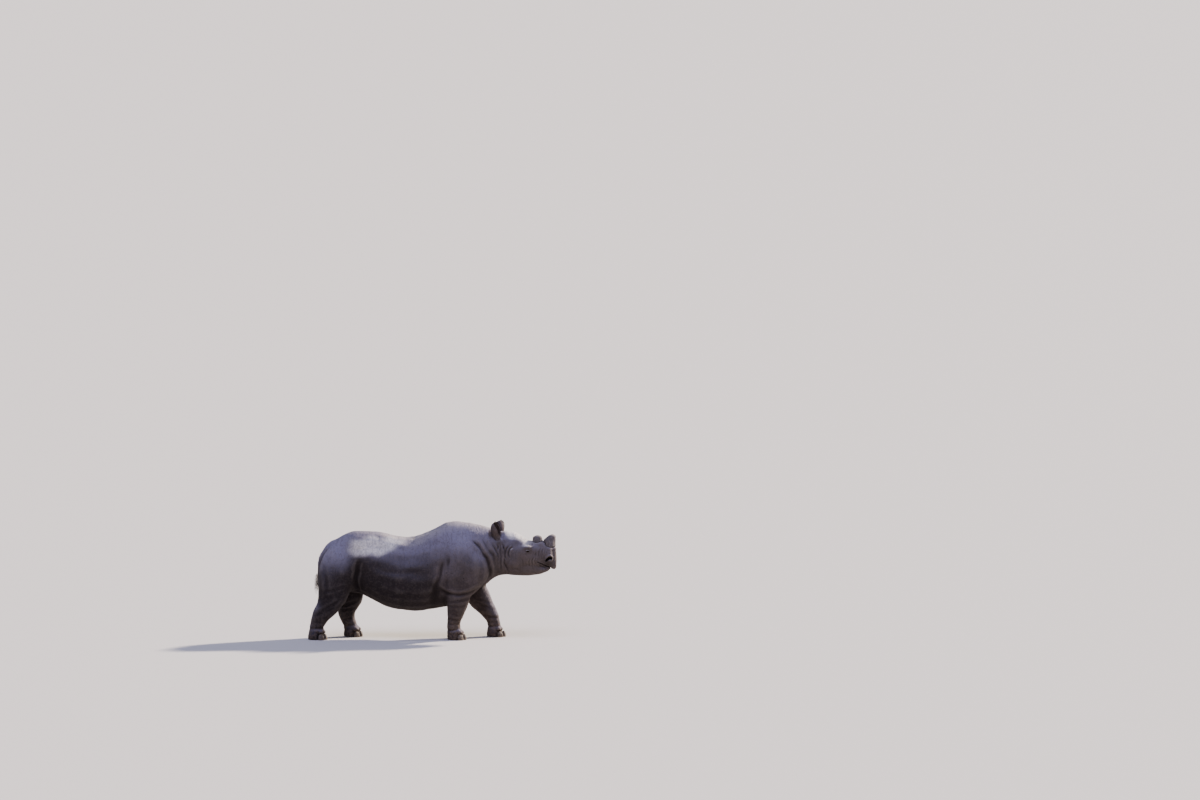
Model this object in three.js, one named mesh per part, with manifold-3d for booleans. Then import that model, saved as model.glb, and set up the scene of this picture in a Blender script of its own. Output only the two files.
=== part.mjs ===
// A life-size black rhinoceros, walking with its head held level, as a still museum model.
// Its two horns have been cut to stumps. Millimetres, +Z up. It faces +X and its left side is +Y.
// The origin is on the floor, under the middle of the animal's length and width.
//
// The body is modelled whole, as smooth bodies through oval sections, and is then parted into
// head, jaw, neck, trunk, legs, feet and tail by thin cuts.

import * as THREE from "three";
import { mergeVertices } from "three/addons/utils/BufferGeometryUtils.js";
import Module from "manifold-3d";

const wasm = await Module();
wasm.setup();

// ---- Driving dimensions ----

const SHOULDER_HEIGHT = 1564; // from the floor to the top of the hump
const GAP = 0.4; // the thin cut between two neighbouring pieces
const EYE_RADIUS = 19;
const NAIL_CLEARANCE = 3; // the nails end this far above the floor, so that the soles carry the animal

// All proportions of the body are in hundredths of the shoulder height.
const H = SHOULDER_HEIGHT / 100;

// ---- Sections of the body, from tail to nose: a canon of proportions ----

// Each row is [x, back line, belly line, half width, height of the widest place].
const TORSO = [
  [-92.7, 72.0, 50.0, 11.0, 61.0], // back of the rump
  [-88.6, 76.7, 46.0, 13.1, 61.4],
  [-81.8, 85.4, 41.9, 16.5, 62.7],
  [-72.3, 90.5, 39.6, 18.5, 63.9], // tail head
  [-60.7, 92.1, 37.7, 19.8, 63.0], // hips
  [-48.0, 91.6, 31.3, 21.6, 57.5], // croup, and the flank below it
  [-32.0, 88.2, 25.1, 24.2, 53.0],
  [-16.0, 87.1, 23.4, 25.0, 51.4], // hollow of the back over the deepest belly
  [0.0, 93.2, 24.8, 23.6, 52.2],
  [11.5, 99.1, 26.7, 21.4, 55.6],
  [24.3, 100.0, 30.7, 19.6, 59.5], // top of the hump
  [35.8, 98.7, 37.7, 18.5, 62.7],
  [46.0, 95.7, 47.6, 15.7, 67.8], // root of the neck
  [55.0, 92.7, 52.6, 13.1, 71.6],
  [64.0, 89.0, 55.0, 10.6, 71.8], // behind the cheeks
];
const SKULL = [
  [55.0, 90.5, 62.0, 8.6, 75.0],
  [60.7, 92.1, 60.6, 10.9, 75.2], // poll
  [67.1, 91.6, 59.5, 11.8, 74.6],
  [72.3, 90.6, 59.5, 11.9, 73.8], // forehead
  [76.7, 87.3, 59.8, 11.6, 72.6],
  [81.2, 84.0, 60.2, 10.7, 72.2], // eyes
  [87.0, 83.1, 60.9, 9.3, 71.4],
  [92.7, 83.1, 61.5, 8.2, 70.8], // boss of the rear horn
  [97.8, 82.5, 61.5, 7.7, 70.3],
  [102.3, 81.1, 60.7, 7.3, 69.5], // nostrils
  [105.0, 78.6, 59.7, 6.0, 68.6],
  [106.3, 77.2, 59.4, 5.3, 68.0], // front of the upper lip
];
const JAW = [
  [57.0, 73.0, 55.4, 6.5, 65.5],
  [65.2, 75.4, 54.9, 9.5, 66.0], // angle of the jaw
  [71.6, 73.5, 54.4, 9.7, 64.6],
  [79.9, 69.1, 54.1, 8.2, 62.5],
  [88.2, 64.6, 54.3, 6.8, 60.2],
  [94.6, 62.2, 55.5, 5.8, 59.4],
  [98.5, 61.6, 57.2, 4.7, 59.4],
  [100.4, 61.3, 58.2, 4.1, 59.5], // lower lip
];

// Each row is [x, distance from the middle plane, z, half size fore and aft, half size to the side].
const SHOULDER = [
  [23.5, 11.0, 90.0, 6.0, 4.5],
  [24.5, 12.4, 78.0, 14.5, 8.4],
  [27.5, 13.2, 67.0, 19.4, 9.8],
  [27.8, 13.4, 57.5, 21.2, 10.0],
  [26.8, 13.7, 49.9, 19.6, 9.5],
  [24.4, 14.2, 42.5, 14.4, 8.9],
  [22.6, 14.6, 37.0, 10.6, 7.4],
];
const LEFT_ELBOW_FORWARD = 7; // the left foreleg is stepping forward
// The legs' sizes are shared by left and right, and only the pose of the joints differs.
const FORELEG_SIZES = [
  [11.5, 7.8], // upper arm
  [11.2, 7.7], // elbow
  [10.4, 7.4],
  [9.0, 6.8], // forearm
  [7.4, 6.1],
  [6.4, 5.8], // wrist
  [5.4, 5.1],
  [6.0, 5.7], // fetlock
  [7.6, 6.9],
  [8.0, 7.2], // sole
];
const HINDLEG_SIZES = [
  [12.0, 6.4], // hip
  [15.2, 8.9],
  [15.2, 9.4], // thigh
  [14.2, 9.0],
  [12.2, 8.0], // knee
  [9.4, 6.9],
  [7.6, 6.2], // hock
  [6.5, 5.5],
  [5.9, 5.2],
  [6.3, 5.8], // fetlock
  [7.7, 6.9],
  [8.0, 7.1], // sole
];
// Each joint is [x, distance from the middle plane, z]. The legs are cut off flat at the floor.
const FORELEG_STANDING = [
  [23.5, 14.0, 49.0],
  [23.2, 14.7, 42.0],
  [22.2, 14.9, 35.5],
  [21.5, 14.7, 29.0],
  [20.3, 14.2, 23.5],
  [19.3, 13.6, 18.5],
  [18.6, 13.1, 13.5],
  [19.0, 12.8, 8.3],
  [20.7, 12.6, 3.8],
  [21.2, 12.6, -2.0],
];
const FORELEG_FORWARD = [
  [30.5, 14.0, 49.0],
  [34.0, 14.6, 42.0],
  [38.0, 14.5, 35.5],
  [42.4, 14.1, 29.0],
  [46.8, 13.4, 23.0],
  [50.3, 12.8, 18.0],
  [52.3, 12.2, 13.2],
  [52.8, 11.9, 8.3],
  [54.0, 11.7, 3.8],
  [54.5, 11.7, -2.0],
];
const HINDLEG_BACK = [
  [-77.5, 9.6, 80.0],
  [-80.0, 11.6, 63.0],
  [-82.2, 12.1, 51.5],
  [-83.6, 12.3, 42.8],
  [-86.2, 12.6, 34.5],
  [-90.2, 12.6, 27.0],
  [-94.5, 12.3, 21.3],
  [-96.9, 12.0, 16.5],
  [-98.6, 11.8, 11.6],
  [-98.9, 11.6, 7.6],
  [-98.2, 11.5, 3.6],
  [-97.9, 11.5, -2.0],
];
const HINDLEG_STANDING = [
  [-77.0, 9.6, 80.0],
  [-77.4, 11.6, 63.0],
  [-74.8, 12.1, 51.5],
  [-72.4, 12.4, 42.8],
  [-71.4, 12.8, 34.5],
  [-72.8, 12.7, 27.0],
  [-73.8, 12.3, 21.3],
  [-73.0, 12.0, 16.5],
  [-71.3, 11.8, 11.6],
  [-70.2, 11.6, 7.6],
  [-68.6, 11.5, 3.6],
  [-68.1, 11.5, -2.0],
];
// Where the limbs are parted from the trunk, seen from the side: [x, z].
const SHOULDER_OUTLINE = [
  [7, -5],
  [7, 46],
  [9, 64],
  [17, 80],
  [31, 84],
  [42, 76],
  [47, 60],
  [66, 48],
  [80, 30],
  [80, -5],
];
const THIGH_OUTLINE = [
  [-115, -5],
  [-115, 62],
  [-102, 75],
  [-88, 82],
  [-72, 83],
  [-60, 72],
  [-55, 56],
  [-55, 42],
  [-50, -5],
];
// Each row is [x, z, radius] along the tail, which hangs in the middle plane.
const TAIL = [
  [-79.0, 83.4, 3.2],
  [-86.2, 82.0, 3.1],
  [-92.0, 75.2, 2.6],
  [-95.4, 66.5, 2.2],
  [-96.4, 57.5, 1.8],
  [-96.8, 49.0, 1.5],
  [-97.0, 43.0, 1.3],
];

// How far from the middle plane the limbs' cuts into the trunk reach.
const SHOULDER_CUT_DEPTH = 4;
const THIGH_CUT_DEPTH = 2.2;

// The plane cuts round the neck, each through a point and square to a direction.
const HEAD_CUT = { point: [51, 0, 93], normal: [1, 0, 0.24] };
const NECK_CUT = { point: [44, 0, 75], normal: [1, 0, 0.3] };

// Where the pieces of the head and body have their own origins.
const PIVOTS = {
  head: [58, 0, 74],
  lowerJaw: [80, 0, 60],
  frontStump: [97, 0, 79],
  rearStump: [90, 0, 82],
  neck: [44, 0, 74],
  trunk: [0, 0, 60],
  tail: [-80, 0, 85],
};

// ---- Finishes ----

const HIDE = { color: "#6f6766", roughness: 0.85, metalness: 0 };
const HORN = { color: "#5a5049", roughness: 0.6, metalness: 0 };
const NAIL_HORN = { color: "#4d443e", roughness: 0.6, metalness: 0 };
const WET_EYE = { color: "#1c120c", roughness: 0.1, metalness: 0 };

// ---- Solids ----

const FORWARD = new THREE.Vector3(1, 0, 0);
const UP = new THREE.Vector3(0, 0, 1);
const DOWN = new THREE.Vector3(0, 0, -1);
const RIGHTWARD = new THREE.Vector3(0, -1, 0); // every section's width is measured this way

function solid(geometry) {
  const bare = geometry.clone();
  bare.deleteAttribute("normal");
  bare.deleteAttribute("uv");
  const merged = mergeVertices(bare, 1e-3);
  return new wasm.Manifold(
    new wasm.Mesh({
      numProp: 3,
      vertProperties: new Float32Array(merged.attributes.position.array),
      triVerts: new Uint32Array(merged.index.array),
    }),
  );
}

// Distances along a loft at which it gets a ring, and how far each ring has opened: a cap is rounded
// over its length, and a cap of no length is flat.
function ringsAlong(length, step, startCap, endCap) {
  const CAP_RINGS = 3;
  const rounded = (cap) =>
    Array.from({ length: CAP_RINGS }, (_, i) => {
      const turn = ((i + 1) / CAP_RINGS) * (Math.PI / 2);
      return { at: cap * (1 - Math.cos(turn)), open: Math.sin(turn) };
    });
  const start = startCap ? rounded(startCap) : [{ at: 0, open: 1 }];
  const end = endCap ? rounded(endCap) : [{ at: 0, open: 1 }];
  const between = length - startCap - endCap;
  const count = Math.max(1, Math.round(between / step));
  const middle = Array.from({ length: count - 1 }, (_, i) => ({
    at: startCap + ((i + 1) / count) * between,
    open: 1,
  }));
  return [
    { at: 0, open: 0 },
    ...start,
    ...middle,
    ...end.reverse().map(({ at, open }) => ({ at: length - at, open })),
    { at: length, open: 0 },
  ];
}

// A closed smooth body through oval sections: a sphere whose rings are laid on the sections. A section
// has a centre, half sizes up, down and to the side, and a squareness, which is 2 for an ellipse.
// Its plane faces the fixed direction `facing`, or else it follows the line of the centres.
function loft(sections, { around, step, startCap = 0, endCap = 0, facing = null, grow = 0 }) {
  const centres = sections.map((s) => new THREE.Vector3(...s.centre));
  const places = [0];
  for (let i = 1; i < centres.length; i++) {
    places.push(places[i - 1] + centres[i].distanceTo(centres[i - 1]));
  }
  const values = sections.flatMap((s) => [...s.centre, s.up, s.down, s.side, s.square ?? 2]);
  const spline = new THREE.CubicInterpolant(places, values, 7);
  const length = places.at(-1);
  const sectionAt = (at) => [...spline.evaluate(THREE.MathUtils.clamp(at, 0, length))];
  const centreAt = (at) => new THREE.Vector3(...sectionAt(at).slice(0, 3));

  const rings = ringsAlong(length, step, startCap, endCap);
  const geometry = new THREE.SphereGeometry(1, around, rings.length - 1);
  const position = geometry.attributes.position;
  rings.forEach(({ at, open }, ring) => {
    const [x, y, z, up, down, side, square] = sectionAt(at);
    const forward = facing ?? centreAt(at + 1).sub(centreAt(at - 1)).setY(0).normalize();
    const upward = new THREE.Vector3().crossVectors(RIGHTWARD, forward);
    const along = (at === 0 ? -grow : 0) + (at === length ? grow : 0);
    for (let i = 0; i <= around; i++) {
      const angle = (i / around) * 2 * Math.PI;
      const rise = squared(-Math.cos(angle), square);
      const reach = squared(Math.sin(angle), square);
      const point = new THREE.Vector3(x, y, z)
        .addScaledVector(forward, along)
        .addScaledVector(upward, open * rise * ((rise > 0 ? up : down) + grow))
        .addScaledVector(RIGHTWARD, open * reach * (side + grow));
      position.setXYZ(ring * (around + 1) + i, point.x, point.y, point.z);
    }
  });
  return solid(geometry);
}

function squared(value, square) {
  return Math.sign(value) * Math.abs(value) ** (2 / square);
}

// Sections that stand across the body's length, from rows of a canon.
function crossSections(rows, square) {
  return rows.map(([x, top, bottom, half, middle]) => ({
    centre: [x * H, 0, middle * H],
    up: (top - middle) * H,
    down: (middle - bottom) * H,
    side: half * H,
    square,
  }));
}

// Sections down a limb, on the right side where side is -1 and on the left where it is 1.
function limbSections(joints, sizes, side, square) {
  return joints.map(([x, y, z], i) => ({
    centre: [x * H, side * y * H, z * H],
    up: sizes[i][0] * H,
    down: sizes[i][0] * H,
    side: sizes[i][1] * H,
    square,
  }));
}

function ellipsoid(radii, centre, { around = 12, rings = 8, turn = 0 } = {}) {
  const geometry = new THREE.SphereGeometry(1, around, rings)
    .scale(...radii)
    .rotateZ(turn)
    .translate(...centre);
  return solid(geometry);
}

// A slab with an outline in the middle plane, that stands out to one side from `inner` to `outer`.
function slab(outline, inner, outer, side, grow) {
  const points = outline.map(([x, z]) => new THREE.Vector2(x * H, z * H));
  const middle = new THREE.Box2().setFromPoints(points).getCenter(new THREE.Vector2());
  const grown = points.map((point) => {
    const outward = point.clone().sub(middle).setLength(grow * 1.5);
    return point.clone().add(outward);
  });
  const depth = (outer - inner) * H + grow;
  const geometry = new THREE.ExtrudeGeometry(new THREE.Shape(grown), { depth, bevelEnabled: false })
    .rotateX(Math.PI / 2)
    .translate(0, side > 0 ? inner * H - grow + depth : -inner * H + grow, 0);
  return solid(geometry);
}

// Parts a body at a plane through a point, with a thin cut. Returns the side that the normal points to first.
function partAtPlane(body, point, normal) {
  const n = new THREE.Vector3(...normal).normalize();
  const offset = n.dot(new THREE.Vector3(...point));
  return [
    body.trimByPlane(n.toArray(), offset + GAP / 2),
    body.trimByPlane(n.clone().negate().toArray(), -(offset - GAP / 2)),
  ];
}

// Parts a limb from a body, round its outline, with a thin cut. Returns the limb first.
function partLimb(body, outline, inner, side) {
  const OUTER = 40;
  return [
    body.intersect(slab(outline, inner, OUTER, side, 0)),
    body.subtract(slab(outline, inner, OUTER, side, GAP)),
  ];
}

// ---- Whole body ----

function torsoAndNeck() {
  return loft(crossSections(TORSO, 2.15), {
    around: 20,
    step: 6.6 * H,
    startCap: 5.8 * H,
    endCap: 2 * H,
    facing: FORWARD,
  });
}

function skull() {
  return loft(crossSections(SKULL, 2.3), {
    around: 20,
    step: 4.3 * H,
    startCap: 3 * H,
    endCap: 1.6 * H,
    facing: FORWARD,
  });
}

function jaw() {
  return loft(crossSections(JAW, 2.5), {
    around: 16,
    step: 4.8 * H,
    startCap: 3 * H,
    endCap: 1.6 * H,
    facing: FORWARD,
  });
}

// The shoulder blade and upper arm. `swing` is how far forward the elbow is carried.
function shoulder(side, swing) {
  const top = SHOULDER[0][2];
  const bottom = SHOULDER.at(-1)[2];
  const carried = (z) => swing * ((top - z) / (top - bottom)) ** 2;
  const joints = SHOULDER.map(([x, y, z]) => [x + carried(z), y, z]);
  const sizes = SHOULDER.map(([, , , fore, out]) => [fore, out]);
  return loft(limbSections(joints, sizes, side, 2.2), {
    around: 12,
    step: 6 * H,
    startCap: 5 * H,
    endCap: 2.6 * H,
    facing: DOWN,
  });
}

function foreleg(joints, side) {
  return loft(limbSections(joints, FORELEG_SIZES, side, 2.15), { around: 12, step: 5 * H });
}

function hindleg(joints, side) {
  return loft(limbSections(joints, HINDLEG_SIZES, side, 2.15), {
    around: 14,
    step: 5.8 * H,
    startCap: 9 * H,
  });
}

function tail(grow = 0) {
  const sections = TAIL.map(([x, z, radius]) => ({
    centre: [x * H, 0, z * H],
    up: radius * H,
    down: radius * H,
    side: radius * H,
  }));
  return loft(sections, { around: 8, step: 6.5 * H, endCap: 1.2 * H, grow });
}

// The rounded forms of the face: [centre on the right or left, radii].
const FACE = {
  earRoot: [[56.4, 7.6, 84.2], [4.2, 3.6, 4.0]],
  cheek: [[70.5, 8.9, 67.0], [8.5, 2.6, 6.5]],
  brow: [[80.2, 9.4, 78.3], [4.6, 1.7, 2.3]],
  nostrilWing: [[101.4, 6.2, 69.2], [3.2, 2.0, 3.0]],
};

function faceForms(side) {
  return Object.values(FACE).map(([[x, y, z], radii]) => {
    return ellipsoid(
      radii.map((r) => r * H),
      [x * H, side * y * H, z * H],
      { around: 8, rings: 5 },
    );
  });
}

// ---- Horn stumps, ears, eyes, nostrils and nails ----

// Each row is [x, z, half length, half width] from the root of the stump up to its worn top.
const FRONT_STUMP = [
  [100.2, 78.4, 5.3, 6.2],
  [100.2, 81.5, 5.3, 5.9],
  [100.2, 84.2, 5.3, 5.3], // its back slopes from here up to the top
  [101.8, 86.6, 3.7, 4.5],
  [102.5, 89.0, 3.0, 3.9],
];
const REAR_STUMP = [
  [89.8, 81.2, 4.5, 4.6],
  [89.9, 84.6, 4.3, 4.2],
  [89.8, 88.2, 3.6, 3.5],
];

function stump(rows, grow = 0) {
  const sections = rows.map(([x, z, length, width]) => ({
    centre: [x * H, 0, z * H],
    up: length * H,
    down: length * H,
    side: width * H,
    square: 2.2,
  }));
  return loft(sections, {
    around: 12,
    step: 3 * H,
    endCap: 1.9 * H,
    facing: UP,
    grow,
  });
}

const EAR = {
  length: 16.2,
  root: [56.4, 8.0, 84.5],
  wall: 0.62,
  floor: 3.0, // how far above the root the hollow of the cup begins
  through: 0.8, // how far the hollow reaches out through the front
  // [share of the length, half width across the opening, half depth]
  outside: [
    [0, 2.8, 2.7],
    [0.25, 3.9, 3.6],
    [0.55, 5.1, 4.4],
    [0.8, 4.6, 3.7],
    [1, 2.6, 1.9],
  ],
};

// An ear stands along its own +Z, with its opening towards its own +X. It is a cup with a thin wall
// round its back and sides.
function earShell({ hollow = true, grow = 0 } = {}) {
  const sections = (inset, through) =>
    EAR.outside.map(([share, width, depth]) => ({
      centre: [0, 0, share * (EAR.length - inset) * H],
      up: (depth - inset) * H, // the back of the ear
      down: (depth + through) * H,
      side: (width - inset) * H,
      square: 2,
    }));
  const settings = { around: 10, step: 4.2 * H, endCap: 2 * H, facing: UP };
  const outside = loft(sections(0, 0), { ...settings, grow });
  if (!hollow) return outside;
  const inside = loft(sections(EAR.wall, EAR.through), settings);
  return outside.subtract(inside.trimByPlane([0, 0, 1], EAR.floor * H));
}

// How each ear is carried: lean to the side and forward, and the way its opening is turned.
const EAR_RIGHT = { side: -1, lean: 12, forward: -11, opening: -24 };
const EAR_LEFT = { side: 1, lean: 24, forward: 5, opening: 24 };

function earMatrix({ side, lean, forward, opening }) {
  const [x, y, z] = EAR.root;
  const turned = new THREE.Euler(
    THREE.MathUtils.degToRad(-side * lean),
    THREE.MathUtils.degToRad(forward),
    THREE.MathUtils.degToRad(opening),
    "XYZ",
  );
  return new THREE.Matrix4().compose(
    new THREE.Vector3(x * H, side * y * H, z * H),
    new THREE.Quaternion().setFromEuler(turned),
    new THREE.Vector3(1, 1, 1),
  );
}

function ear(pose, options) {
  return earShell(options).transform(earMatrix(pose).toArray());
}

// The roots of the ears are let into the head and the front of the neck.
function withRoomForEars(body) {
  return [EAR_RIGHT, EAR_LEFT].reduce((rest, pose) => {
    return rest.subtract(ear(pose, { hollow: false, grow: GAP }));
  }, body);
}

const EYE = [81.6, 9.85, 75.4];
function eye(side, grow = 0) {
  const [x, y, z] = EYE;
  const radius = EYE_RADIUS + grow;
  return ellipsoid([radius, radius, radius], [x * H, side * y * H, z * H], { around: 8, rings: 6 });
}

const NOSTRIL = { at: [101.6, 7.6, 69.0], radii: [1.5, 1.6, 1.0] };
function nostril(side) {
  const [x, y, z] = NOSTRIL.at;
  return ellipsoid(
    NOSTRIL.radii.map((r) => r * H),
    [x * H, side * y * H, z * H],
    { around: 8, rings: 4 },
  );
}

const NAIL = { thickness: 1.5, halfWidth: 2.6, height: 4.6, angles: [0, 58, -58] };

// One of a foot's three broad nails, on the rim of the foot at an angle from straight ahead.
function nail([x, y], [length, width], side, angle, grow = 0) {
  const turn = THREE.MathUtils.degToRad(angle);
  const rim = [
    (x + (length - 0.5) * Math.cos(turn)) * H,
    side * y * H + (width - 0.5) * Math.sin(turn) * H,
    NAIL_CLEARANCE,
  ];
  const radii = [NAIL.thickness * H + grow, NAIL.halfWidth * H + grow, NAIL.height * H + grow];
  const dome = ellipsoid(radii, rim, { around: 8, rings: 4, turn });
  return dome.trimByPlane([0, 0, 1], NAIL_CLEARANCE - grow);
}

// The mouth is a straight cut that falls from its corner to the lips. Behind its corner the jaw is
// parted straight down. Returns the lower jaw and the rest of the head.
const MOUTH = { corner: [89.5, 0, 65.9], fall: 0.457 };
function partAtMouth(head) {
  const corner = scaled(MOUTH.corner);
  const [above, below] = partAtPlane(head, corner, [MOUTH.fall, 0, 1]);
  const [lowerJaw] = partAtPlane(below, corner, [1, 0, 0]);
  const [, behind] = partAtPlane(head, corner, [1, 0, 0]);
  return [lowerJaw, above.add(behind)];
}

// ---- Assembly ----

function mesh(name, body, finish, pivot) {
  const { numProp, vertProperties, triVerts, numVert } = body.getMesh();
  const positions = new Float32Array(numVert * 3);
  for (let i = 0; i < numVert; i++) {
    positions.set(vertProperties.subarray(i * numProp, i * numProp + 3), i * 3);
  }
  const geometry = new THREE.BufferGeometry()
    .setAttribute("position", new THREE.BufferAttribute(positions, 3))
    .setIndex(new THREE.BufferAttribute(triVerts, 1))
    .translate(...pivot.map((value) => -value));
  geometry.computeVertexNormals();
  const made = new THREE.Mesh(geometry, new THREE.MeshStandardMaterial(finish));
  made.name = name;
  made.position.set(...pivot);
  return made;
}

const scaled = (point) => point.map((value) => value * H);
const onSide = ([x, y, z], side) => scaled([x, side * y, z]);

// The head with its jaw, ears, eyes and horn stumps.
function headGroup(headBody) {
  const group = new THREE.Group();
    let head = headBody;
  for (const side of [-1, 1]) head = head.subtract(eye(side, GAP)).subtract(nostril(side));
  head = withRoomForEars(head);
  head = head.subtract(stump(FRONT_STUMP, GAP)).subtract(stump(REAR_STUMP, GAP));

  const [lowerJaw, upperHead] = partAtMouth(head);
  group.add(mesh("head", upperHead, HIDE, scaled(PIVOTS.head)));
  group.add(mesh("lower_jaw", lowerJaw, HIDE, scaled(PIVOTS.lowerJaw)));
  group.add(mesh("horn_front_stump", stump(FRONT_STUMP), HORN, scaled(PIVOTS.frontStump)));
  group.add(mesh("horn_rear_stump", stump(REAR_STUMP), HORN, scaled(PIVOTS.rearStump)));
  group.add(mesh("ear_right", ear(EAR_RIGHT), HIDE, onSide(EAR.root, -1)));
  group.add(mesh("ear_left", ear(EAR_LEFT), HIDE, onSide(EAR.root, 1)));
  group.add(mesh("eye_right", eye(-1), WET_EYE, onSide(EYE, -1)));
  group.add(mesh("eye_left", eye(1), WET_EYE, onSide(EYE, 1)));
  return group;
}

// A leg parted into leg and foot, with the foot's three nails let into it.
function limbGroup(name, limb, joints, sizes, side) {
  const group = new THREE.Group();
  const [footX, footY] = joints.at(-2);
  const footSize = sizes.at(-2);
  const ankle = onSide(joints.at(-4), side);
  let [leg, foot] = partAtPlane(limb, ankle, [0, 0, 1]);
  NAIL.angles.forEach((angle, i) => {
    const place = [[footX, footY], footSize, side, angle];
    foot = foot.subtract(nail(...place, GAP));
    group.add(mesh(`nail_${name}_${i + 1}`, nail(...place), NAIL_HORN, onSide([footX, footY, 0], side)));
  });
  group.add(mesh(`leg_${name}`, leg, HIDE, onSide(joints[0], side)));
  group.add(mesh(`foot_${name}`, foot, HIDE, ankle));
  return group;
}

function rhinoceros() {
  const forelegs = {
    right: foreleg(FORELEG_STANDING, -1),
    left: foreleg(FORELEG_FORWARD, 1),
  };
  const hindlegs = {
    right: hindleg(HINDLEG_BACK, -1),
    left: hindleg(HINDLEG_STANDING, 1),
  };
  const whole = [
    torsoAndNeck(),
    skull(),
    jaw(),
    shoulder(-1, 0),
    shoulder(1, LEFT_ELBOW_FORWARD),
    ...Object.values(forelegs),
    ...Object.values(hindlegs),
    ...faceForms(-1),
    ...faceForms(1),
  ]
    .reduce((body, next) => body.add(next))
    .trimByPlane([0, 0, 1], 0);

  const [headBody, behindHead] = partAtPlane(whole, scaled(HEAD_CUT.point), HEAD_CUT.normal);
  const [neck, behindNeck] = partAtPlane(behindHead, scaled(NECK_CUT.point), NECK_CUT.normal);

  const root = new THREE.Group();
  const body = new THREE.Group();
  root.add(body);
  body.add(headGroup(headBody));
  body.add(mesh("neck", withRoomForEars(neck), HIDE, scaled(PIVOTS.neck)));

  let trunk = behindNeck.subtract(tail(GAP));
  body.add(mesh("tail", tail(), HIDE, scaled(PIVOTS.tail)));

  const limbs = [
    ["front_right", FORELEG_STANDING, FORELEG_SIZES, -1, SHOULDER_OUTLINE, SHOULDER_CUT_DEPTH],
    ["front_left", FORELEG_FORWARD, FORELEG_SIZES, 1, SHOULDER_OUTLINE, SHOULDER_CUT_DEPTH],
    ["hind_right", HINDLEG_BACK, HINDLEG_SIZES, -1, THIGH_OUTLINE, THIGH_CUT_DEPTH],
    ["hind_left", HINDLEG_STANDING, HINDLEG_SIZES, 1, THIGH_OUTLINE, THIGH_CUT_DEPTH],
  ];
  for (const [name, joints, sizes, side, outline, inner] of limbs) {
    const [limb, rest] = partLimb(trunk, outline, inner, side);
    trunk = rest;
    body.add(limbGroup(name, limb, joints, sizes, side));
  }
  body.add(mesh("trunk", trunk, HIDE, scaled(PIVOTS.trunk)));

  root.updateMatrixWorld(true);
  const box = new THREE.Box3().setFromObject(body);
  const middle = box.getCenter(new THREE.Vector3());
  body.position.set(-middle.x, -middle.y, -box.min.z);
  return root;
}

export default rhinoceros();
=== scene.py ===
# %% [markdown]
# # A black rhinoceros in Blender
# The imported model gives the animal's true outline and size as plain, parted solids. This lesson dresses
# them: one skin with folds and wrinkles, wet eyes with lids, fibrous horn stumps, worn nails, and tufts
# of coarse hair. Every size is in metres, in the model's own frame, with the floor at z = 0.

# %% Load the frame
import math
import random

import bmesh
import bpy
import numpy as np
from mathutils import Matrix, Vector, noise


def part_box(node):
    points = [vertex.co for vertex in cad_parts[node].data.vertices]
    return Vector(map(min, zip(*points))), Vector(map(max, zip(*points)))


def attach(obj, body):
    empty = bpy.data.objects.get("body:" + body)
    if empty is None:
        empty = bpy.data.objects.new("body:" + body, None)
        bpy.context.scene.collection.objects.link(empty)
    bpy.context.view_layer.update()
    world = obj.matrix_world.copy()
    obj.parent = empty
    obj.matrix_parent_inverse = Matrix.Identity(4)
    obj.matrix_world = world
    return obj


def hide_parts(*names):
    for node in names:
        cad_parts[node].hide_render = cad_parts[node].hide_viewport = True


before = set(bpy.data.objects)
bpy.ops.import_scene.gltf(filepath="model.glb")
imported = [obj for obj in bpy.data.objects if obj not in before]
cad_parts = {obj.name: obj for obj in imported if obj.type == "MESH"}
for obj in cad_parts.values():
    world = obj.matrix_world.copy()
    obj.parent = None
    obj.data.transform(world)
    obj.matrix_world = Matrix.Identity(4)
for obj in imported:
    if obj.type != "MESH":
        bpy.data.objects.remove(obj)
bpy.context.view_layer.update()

# %% [markdown]
# ## A canon of proportions
# Sculptors measure an animal in shares of its height. Here one unit is a hundredth of the height at the
# hump, and x is counted forward from a point behind the shoulder, so that the nose lies at 106.3.

# %% The unit and the way from the canon to metres
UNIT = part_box("trunk")[1].z / 100
NOSE = 106.3
ORIGIN_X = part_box("head")[1].x - NOSE * UNIT


def at(x, y, z):
    """A point of the canon, in metres."""
    return Vector((ORIGIN_X + x * UNIT, y * UNIT, z * UNIT))


def canon(points):
    """Rows of metres, in units of the canon."""
    return (np.asarray(points, float) - [ORIGIN_X, 0, 0]) / UNIT


def metres(points):
    """Rows of the canon, in metres."""
    return np.asarray(points, float) * UNIT + [ORIGIN_X, 0, 0]


print("one unit is", round(UNIT * 1000, 2), "mm")

# %% [markdown]
# ## Small helpers
# An operator acts on all that is selected, so one piece is selected before each. Meshes are read and
# written as arrays, which lets a whole surface be shaped by one formula.


# %% Selecting, applying and copying
def select_only(*objects):
    bpy.ops.object.select_all(action="DESELECT")
    for o in objects:
        o.select_set(True)
    bpy.context.view_layer.objects.active = objects[0]


def apply_modifier(obj, kind, **settings):
    select_only(obj)
    modifier = obj.modifiers.new(kind.title(), kind)
    for key, value in settings.items():
        setattr(modifier, key, value)
    bpy.ops.object.modifier_apply(modifier=modifier.name)


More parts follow.
